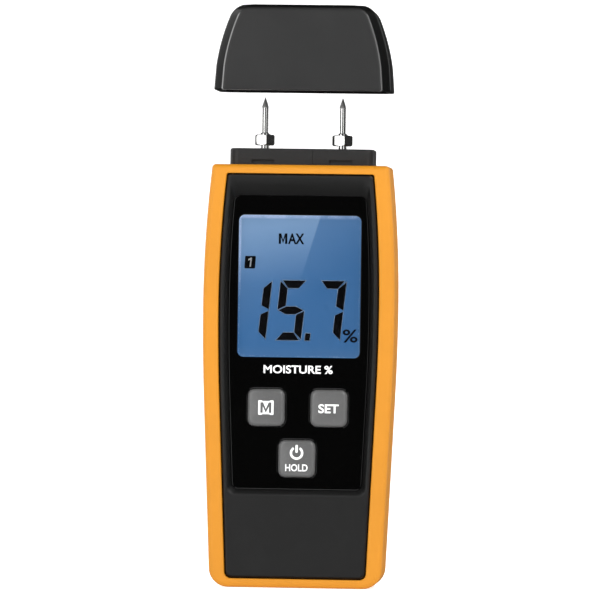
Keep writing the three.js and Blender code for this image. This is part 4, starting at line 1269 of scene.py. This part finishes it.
def make_rear_cover():
    """The cover, its skirt inside the surround, four pillars and the tray, less the hollow, the door
    opening, the slots of the door's tabs, and the stepped screw holes."""
    made = piece("back_shell", [rear_surface()], "case", replaces=["rear_cover"])
    back, wall, tray_wall = REAR_BACK, 2.2, 1.2
    skirt = skin([case_ring(WALL + GAP, WALL + GAP, 3.7, 0.6, y) for y in (REAR_SKIRT_FRONT, 9.8)])
    hollow = skin([case_ring(4.6, 4.6, 2.5, 1.0, y) for y in (REAR_SKIRT_FRONT - 1, back - wall)])
    combine(made, [skirt], "UNION")
    combine(made, [hollow], "DIFFERENCE")
    pillar = [(0, 5.8), (3.3, 5.8), (3.3, back - 2), (0, back - 2)]
    pillars = [lathe_along_y(pillar, x, z) for x, z in CASE_SCREW_PLACES]
    tray_low, tray_high = np.array([-17.6, 0, 9.6]), np.array([17.6, back - wall, 62.2])
    tray = block(tray_low - (tray_wall, 1, tray_wall), tray_high + (tray_wall, 0.2, tray_wall), 0.3)
    combine(made, [*pillars, tray], "UNION")
    holes = [
        block(tray_low, tray_high, 0.3),
        block((-DOOR_HALF - GAP, back - 3, 9.9), (DOOR_HALF + GAP, back + 1, DOOR_TOP + GAP), 0.3),
    ]
    holes += [block((x - 3, back - 5.5, 7.6), (x + 3, back - wall, 10.6), 0.2) for x in TAB_PLACES]
    shank, head, seat = 1.6, 2.8, back - 2.6
    step = [(0, 5), (shank, 5), (shank, seat), (head, seat), (head, back + 1), (0, back + 1)]
    holes += [lathe_along_y(step, x, z) for x, z in CASE_SCREW_PLACES]
    combine(made, holes, "DIFFERENCE")
    soften(made, 0.18)


def door_surface():
    """Lid carried across its width: the CAD lid's section with softened corners, its ends drawn in
    by a small round."""
    back, inner, round_edge = DOOR_BACK, DOOR_BACK - DOOR_THICK, 0.35
    section = [(inner, DOOR_BOTTOM), (back - 1.4, DOOR_BOTTOM), (back, DOOR_BOTTOM + 1.4), (back, DOOR_TOP),
               (inner, DOOR_TOP)]
    points = softened_polygon(section, round_edge)
    middle = points.mean(0)
    half = np.abs(points - middle).max(0)
    ends = [(DOOR_HALF - round_edge, 0), (DOOR_HALF - 0.1, 0.12), (DOOR_HALF, round_edge)]
    rings = []
    for x, shrink in [(-x, shrink) for x, shrink in ends[::-1]] + ends:
        drawn = middle + (points - middle) * (1 - shrink / half)
        rings.append(np.stack([np.full(len(points), x), drawn[:, 0], drawn[:, 1]], -1))
    return skin(rings)


def finger_groove(z, half):
    """Shallow trough across the door, as a round bar with thin ends that is cut out of its back."""
    turn = arc(0, 360, 17)[:-1]
    rings = []
    for x, radius in ((-half, 0.2), (-half + 0.5, 0.55), (half - 0.5, 0.55), (half, 0.2)):
        rings.append(np.stack([np.full(len(turn), x), DOOR_BACK + 0.12 + radius * np.cos(turn),
                               z + radius * np.sin(turn)], -1))
    return skin(rings)


def make_door():
    """The lid with two tabs below, a spring catch above, and five finger grooves."""
    made = piece("cell_door", [door_surface()], "case", "door", ["battery_door"])
    inner = DOOR_BACK - DOOR_THICK
    tabs = []
    for x in TAB_PLACES:
        tabs.append(block((x - 2.5, inner - 1.7, 7.7), (x + 2.5, inner - 0.5, 12.7), 0.25))
        tabs.append(block((x - 2.5, inner - 1.5, 11.0), (x + 2.5, inner + 0.3, 12.7), 0.2))
    tabs.append(block((-4, inner - 2, 60.0), (4, inner + 0.3, 61.4), 0.25))
    combine(made, tabs, "UNION")
    grooves = [finger_groove(DOOR_TOP - 4.4 - 1.9 * row, 7.5 - 0.9 * row) for row in range(5)]
    combine(made, grooves, "DIFFERENCE")
    soften(made, 0.12)


def make_foam():
    low, high = box("door_foam")
    made = piece("foam_pad", [block(low, high, 0.45)], "foam", "door", ["door_foam"])


def cell_parts(index):
    """Steel can with its nub, and the printed film round it, whose ends roll over the shoulders.
    Both are (radius, height) pairs turned round the cell's axis. The middle cell stands head down."""
    low, high = box(f"cell_{index}")
    middle = (low + high) / 2
    radius, length, steps = (high[0] - low[0]) / 2, high[2] - low[2], 40
    shoulder, nub = length - 1.2, 1.9
    can = [(0, 0.25), (2.6, 0.25), (2.7, 0), (radius - 0.9, 0), (radius - 0.25, 0.35), (radius - 0.2, 0.8),
           (radius - 0.2, shoulder - 0.7), (radius - 0.8, shoulder - 0.1), (2.6, shoulder),
           (nub + 0.05, shoulder + 0.1), (nub, shoulder + 0.4), (nub, length - 0.3), (nub - 0.3, length),
           (0, length)]
    film = [(radius - 0.75, 0.05), (radius - 0.15, 0.25), (radius, 0.6), (radius, shoulder - 0.4),
            (radius - 0.2, shoulder - 0.05), (radius - 1.2, shoulder + 0.1), (radius - 1.2, shoulder),
            (radius - 0.4, shoulder - 0.25), (radius - 0.15, shoulder - 0.7), (radius - 0.15, 0.7),
            (radius - 0.35, 0.4), (radius - 0.75, 0.2)]
    can, film = np.array(can), np.array(film)
    for profile in (can, film):
        profile[:, 1] = high[2] - profile[:, 1] if index == 2 else low[2] + profile[:, 1]
    turn = np.linspace(0, 2 * np.pi, steps, endpoint=False)
    rings = np.stack([
        film[:, :1] * np.cos(turn) + middle[0], film[:, :1] * np.sin(turn) + middle[1],
        np.repeat(film[:, 1:2], steps, 1),
    ], -1)
    return lathe(can, middle[:2], steps), skin(rings, wrap=True)


def spring_surface(index):
    """Conical coil: radius and height run evenly along the turns, with a flat stretch at each end."""
    low, high = box(f"cell_spring_{index}")
    middle = (low + high) / 2
    wide, narrow, tall, turns, wire, flat = 3.85, 2.4, 5.7, 4.6, 0.3, 0.12
    t = np.linspace(0, 1, 220)
    rise = np.clip((t - flat) / (1 - 2 * flat), 0, 1)
    radius = wide + (narrow - wide) * rise
    height = wire + rise * (tall - 2 * wire)
    z = low[2] + height if index != 2 else high[2] - height
    angle = t * turns * 2 * np.pi
    path = np.stack([middle[0] + radius * np.cos(angle), middle[1] + radius * np.sin(angle), z], -1)
    return tube(path, wire, sides=10)


def make_cells():
    for index in (1, 2, 3):
        can, film = cell_parts(index)
        piece(f"cell_can_{index}", [can], "zinc", replaces=[f"cell_{index}"])
        piece(f"cell_film_{index}", [film], "sleeve", replaces=[f"cell_{index}"])
        piece(f"cell_coil_{index}", [spring_surface(index)], "steel",
              replaces=[f"cell_spring_{index}"])


def screw_parts(group, index, head, shank, thick, pitch):
    """Screw along +Y and the two bars that cut its cross slot. Its shank's radius follows a ridge
    that climbs one pitch each turn, and shrinks towards the point."""
    low, high = box(f"{group}_{index}")
    x, z = (low[0] + high[0]) / 2, (low[2] + high[2]) / 2
    top, neck = high[1], high[1] - thick
    steps = 24
    turn = np.linspace(0, 2 * np.pi, steps, endpoint=False)
    y = np.linspace(low[1], neck, int((neck - low[1]) / pitch * 6))
    phase = (y[:, None] / pitch - turn[None, :] / (2 * np.pi)) % 1.0
    ridge = np.abs(phase - 0.5) * 2
    point = np.clip((y - low[1]) / 1.6, 0.25, 1.0)[:, None]
    radius = shank * point * (1 - 0.24 * ridge)
    rows = [(radius[i], y[i]) for i in range(len(y))]
    for r, level_y in ((head - 0.15, neck), (head, neck + 0.15), (head, neck + thick * 0.45)):
        rows.append((np.full(steps, r), level_y))
    for t in arc(20, 88, 6):
        rows.append((np.full(steps, head * math.cos(t) + 0.02), neck + thick * (0.45 + 0.55 * math.sin(t))))
    rings = np.stack([
        np.stack([x + r * np.cos(turn), np.full(steps, v), z - r * np.sin(turn)], -1) for r, v in rows
    ])
    arm, half, depth = head * 0.55, 0.28, 0.7
    cutters = [block((x - across, top - depth, z - up), (x + across, top + 1, z + up), 0.05)
               for across, up in ((arm, half), (half, arm))]
    return skin(rings), cutters


SCREWS = {
    "case_screw": {"head": 2.4, "shank": 1.2, "thick": 1.7, "pitch": 0.9},
    "board_screw": {"head": 1.9, "shank": 0.8, "thick": 1.2, "pitch": 0.7},
}


def make_screws():
    for group, dimensions in SCREWS.items():
        for index in range(1, 5):
            surface, cutters = screw_parts(group, index, **dimensions)
            made = piece(f"{group}_threaded_{index}", [surface], "zinc",
                         replaces=[f"{group}_{index}"])
            combine(made, cutters, "DIFFERENCE")
            soften(made, sharp=30)


INNER_FINISHES = {
    "white": ["backlight_guide", "lcd_holder", "plunger_mode", "plunger_set", "plunger_hold"],
    "soft": ["zebra_strip"],
    "board": ["main_board"],
    "chip": ["controller_chip", "amplifier_chip", "sounder", "switch_mode", "switch_set", "switch_hold"],
    "brass": ["socket_left", "socket_right", "terminal_left", "terminal_right"],
    "zinc": ["nut_left", "nut_right", "cell_contact_1", "cell_contact_2", "cell_contact_3"],
    "red": ["lead_left"],
    "blue": ["lead_right"],
}


def dress_inner_nodes():
    """Gives the CAD nodes that stay in view their finishes."""
    for finish, names in INNER_FINISHES.items():
        for name in names:
            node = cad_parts[name]
            node.data.materials.clear()
            node.data.materials.append(finish_named(finish))


# ------------------------------------------------------------------ stage

def aim(thing, place, target):
    """Puts a lamp or the camera at a place and turns it to a target."""
    thing.location = place
    thing.rotation_euler = (Vector(target) - Vector(place)).to_track_quat("-Z", "Y").to_euler()


def around(azimuth, elevation, distance, target):
    """Point at a distance from target, with azimuth 0 in front of the meter and 90 to its right."""
    a, e = math.radians(azimuth), math.radians(elevation)
    way = Vector((math.sin(a) * math.cos(e), -math.cos(a) * math.cos(e), math.sin(e)))
    return Vector(target) + way * distance


def soft_light(name, azimuth, elevation, distance, width, height, power, target):
    """Rectangular lamp with sides in metres and power in watts, turned to the target."""
    data = bpy.data.lights.new(name, "AREA")
    data.shape, data.size, data.size_y, data.energy = "RECTANGLE", width, height, power
    light = new_object(name, data)
    light.visible_camera = False
    aim(light, around(azimuth, elevation, distance, target), target)


def bowl_finish():
    """Matt white paint that glows a little, so that the backdrop stays even."""
    f = Finish("backdrop_white", Roughness=1.0, Specular_IOR_Level=0.0, Emission_Strength=0.62)
    tone = f.spread(f.noise(900, 2), 0.3, 0.7, 0.0, 1.0)
    colour = f.blend(tone, (0.90, 0.90, 0.90), (0.92, 0.92, 0.92))
    return f.set(Base_Color=colour, Emission_Color=colour).material


def make_backdrop():
    """Round bowl open at the top: a flat floor that bends up into an upright wall, as circles of a
    (radius, height) profile, closed in the middle of the floor."""
    radius, bend, wall_top, steps = 2500.0, 900.0, 2200.0, 96
    below = 0.05
    profile = [(60, 0.0), (400, 0.0), (radius - bend, 0.0)]
    profile += [(radius - bend + bend * math.sin(t), bend * (1 - math.cos(t))) for t in arc(8, 90, 10)]
    profile.append((radius, wall_top))
    turn = np.linspace(0, 2 * np.pi, steps, endpoint=False)
    points = [np.array([[0.0, 0.0, -below]])]
    for r, z in profile:
        points.append(np.stack([r * np.cos(turn), r * np.sin(turn), np.full(steps, z - below)], -1))
    faces = [[0, 1 + (j + 1) % steps, 1 + j] for j in range(steps)]
    faces += (faces_of_grid(len(profile), steps, False) + 1).tolist()
    mesh = bpy.data.meshes.new("backdrop")
    mesh.from_pydata((np.vstack(points) * MM).tolist(), [], faces)
    mesh.shade_smooth()
    mesh.materials.append(bowl_finish())
    bowl = new_object("backdrop", mesh)
    bowl.visible_glossy = False
    bowl.visible_transmission = False


def make_stage():
    """Backdrop, six soft lamps, a faint even sky, and the camera."""
    make_backdrop()
    middle = (0.0, 0.0, CAP_HIGH[2] / 2 * MM)
    soft_light("key_light", -32, 14, 1.0, 0.57, 1.3, 5.0, middle)
    soft_light("fill_light", 34, 8, 1.0, 0.36, 0.8, 1.1, middle)
    soft_light("spark_light", 42, 38, 1.0, 0.10, 0.10, 3.6, middle)
    soft_light("low_light", -4, -28, 1.0, 0.6, 0.25, 1.3, middle)
    soft_light("back_light", 240, 20, 1.2, 0.8, 1.1, 5.5, middle)
    soft_light("rim_light", 128, 18, 1.2, 0.4, 0.9, 2.0, middle)

    world = bpy.data.worlds.new("studio")
    bpy.context.scene.world = world
    world.use_nodes = True
    world.node_tree.nodes["Background"].inputs["Color"].default_value = (1, 1, 1, 1)
    world.node_tree.nodes["Background"].inputs["Strength"].default_value = 0.035

    lens, sensor, span = 360.0, 36.0, 194.9
    camera = bpy.data.cameras.new("camera")
    camera.lens, camera.sensor_width, camera.clip_end = lens, sensor, 12.0
    view = new_object("camera", camera)
    target = Vector((0.0004, -0.014, 0.0936))
    place = around(4.0, 0.0, span * lens / sensor * MM, target)
    aim(view, place, target)
    view.rotation_euler.rotate_axis("Z", math.radians(0.8))
    bpy.context.scene.camera = view
    bpy.context.scene.view_settings.view_transform = "Standard"


# ------------------------------------------------------------------ add-on

class METER_OT_stage(bpy.types.Operator):
    """Builds the backdrop, lights and camera."""
    bl_idname = "meter.stage"
    bl_label = "Stage"

    def execute(self, context):
        make_stage()
        return {"FINISHED"}


class METER_OT_surround(bpy.types.Operator):
    """Builds the orange surround."""
    bl_idname = "meter.surround"
    bl_label = "Orange surround"

    def execute(self, context):
        make_surround()
        return {"FINISHED"}


class METER_OT_front_shell(bpy.types.Operator):
    """Builds the black front case with its recess."""
    bl_idname = "meter.front_shell"
    bl_label = "Front shell"

    def execute(self, context):
        make_front_shell()
        return {"FINISHED"}


class METER_OT_panel(bpy.types.Operator):
    """Builds the gloss panel, its title and its window."""
    bl_idname = "meter.panel"
    bl_label = "Gloss panel"

    def execute(self, context):
        make_panel()
        make_title()
        make_window()
        return {"FINISHED"}


class METER_OT_display(bpy.types.Operator):
    """Builds the display and its figures."""
    bl_idname = "meter.display"
    bl_label = "Display"

    def execute(self, context):
        make_display()
        return {"FINISHED"}


class METER_OT_keys(bpy.types.Operator):
    """Builds the three keys and their legends."""
    bl_idname = "meter.keys"
    bl_label = "Keys"

    def execute(self, context):
        make_keys()
        return {"FINISHED"}


class METER_OT_head(bpy.types.Operator):
    """Builds the head that holds the electrodes."""
    bl_idname = "meter.head"
    bl_label = "Electrode head"

    def execute(self, context):
        make_head()
        return {"FINISHED"}


class METER_OT_electrodes(bpy.types.Operator):
    """Builds the two pin electrodes."""
    bl_idname = "meter.electrodes"
    bl_label = "Electrodes"

    def execute(self, context):
        make_electrodes()
        return {"FINISHED"}


class METER_OT_cap(bpy.types.Operator):
    """Builds the protective cap."""
    bl_idname = "meter.cap"
    bl_label = "Pin cap"

    def execute(self, context):
        make_cap()
        return {"FINISHED"}


class METER_OT_rear(bpy.types.Operator):
    """Builds the rear cover."""
    bl_idname = "meter.rear"
    bl_label = "Rear cover"

    def execute(self, context):
        make_rear_cover()
        return {"FINISHED"}


class METER_OT_door(bpy.types.Operator):
    """Builds the battery door and its foam pad."""
    bl_idname = "meter.door"
    bl_label = "Battery door"

    def execute(self, context):
        make_door()
        make_foam()
        return {"FINISHED"}


class METER_OT_cells(bpy.types.Operator):
    """Builds the cells and their springs."""
    bl_idname = "meter.cells"
    bl_label = "Cells"

    def execute(self, context):
        make_cells()
        return {"FINISHED"}


class METER_OT_screws(bpy.types.Operator):
    """Builds the threaded screws."""
    bl_idname = "meter.screws"
    bl_label = "Screws"

    def execute(self, context):
        make_screws()
        return {"FINISHED"}


class METER_OT_inner(bpy.types.Operator):
    """Gives the inner parts their finishes."""
    bl_idname = "meter.inner"
    bl_label = "Inner parts"

    def execute(self, context):
        dress_inner_nodes()
        return {"FINISHED"}


OPERATORS = [
    METER_OT_stage, METER_OT_surround, METER_OT_front_shell, METER_OT_panel, METER_OT_display,
    METER_OT_keys, METER_OT_head, METER_OT_electrodes, METER_OT_cap, METER_OT_rear, METER_OT_door,
    METER_OT_cells, METER_OT_screws, METER_OT_inner,
]


class METER_PT_pieces(bpy.types.Panel):
    """Lists the settings and the operators of the meter."""
    bl_label = "Moisture meter"
    bl_idname = "METER_PT_pieces"
    bl_space_type = "VIEW_3D"
    bl_region_type = "UI"
    bl_category = "Moisture meter"

    def draw(self, context):
        layout = self.layout
        for group in (context.scene.meter_finishes, context.scene.meter_sizes):
            for name in group.__annotations__:
                layout.prop(group, name)
        for kind in OPERATORS:
            layout.operator(kind.bl_idname)


CLASSES = [MeterFinishes, MeterSizes, *OPERATORS, METER_PT_pieces]


def register():
    for kind in CLASSES:
        bpy.utils.register_class(kind)
    bpy.types.Scene.meter_finishes = bpy.props.PointerProperty(type=MeterFinishes)
    bpy.types.Scene.meter_sizes = bpy.props.PointerProperty(type=MeterSizes)


def unregister():
    del bpy.types.Scene.meter_sizes
    del bpy.types.Scene.meter_finishes
    for kind in reversed(CLASSES):
        bpy.utils.unregister_class(kind)


def main():
    register()
    for kind in OPERATORS:
        group, name = kind.bl_idname.split(".")
        getattr(getattr(bpy.ops, group), name)()


if __name__ == "__main__":
    main()
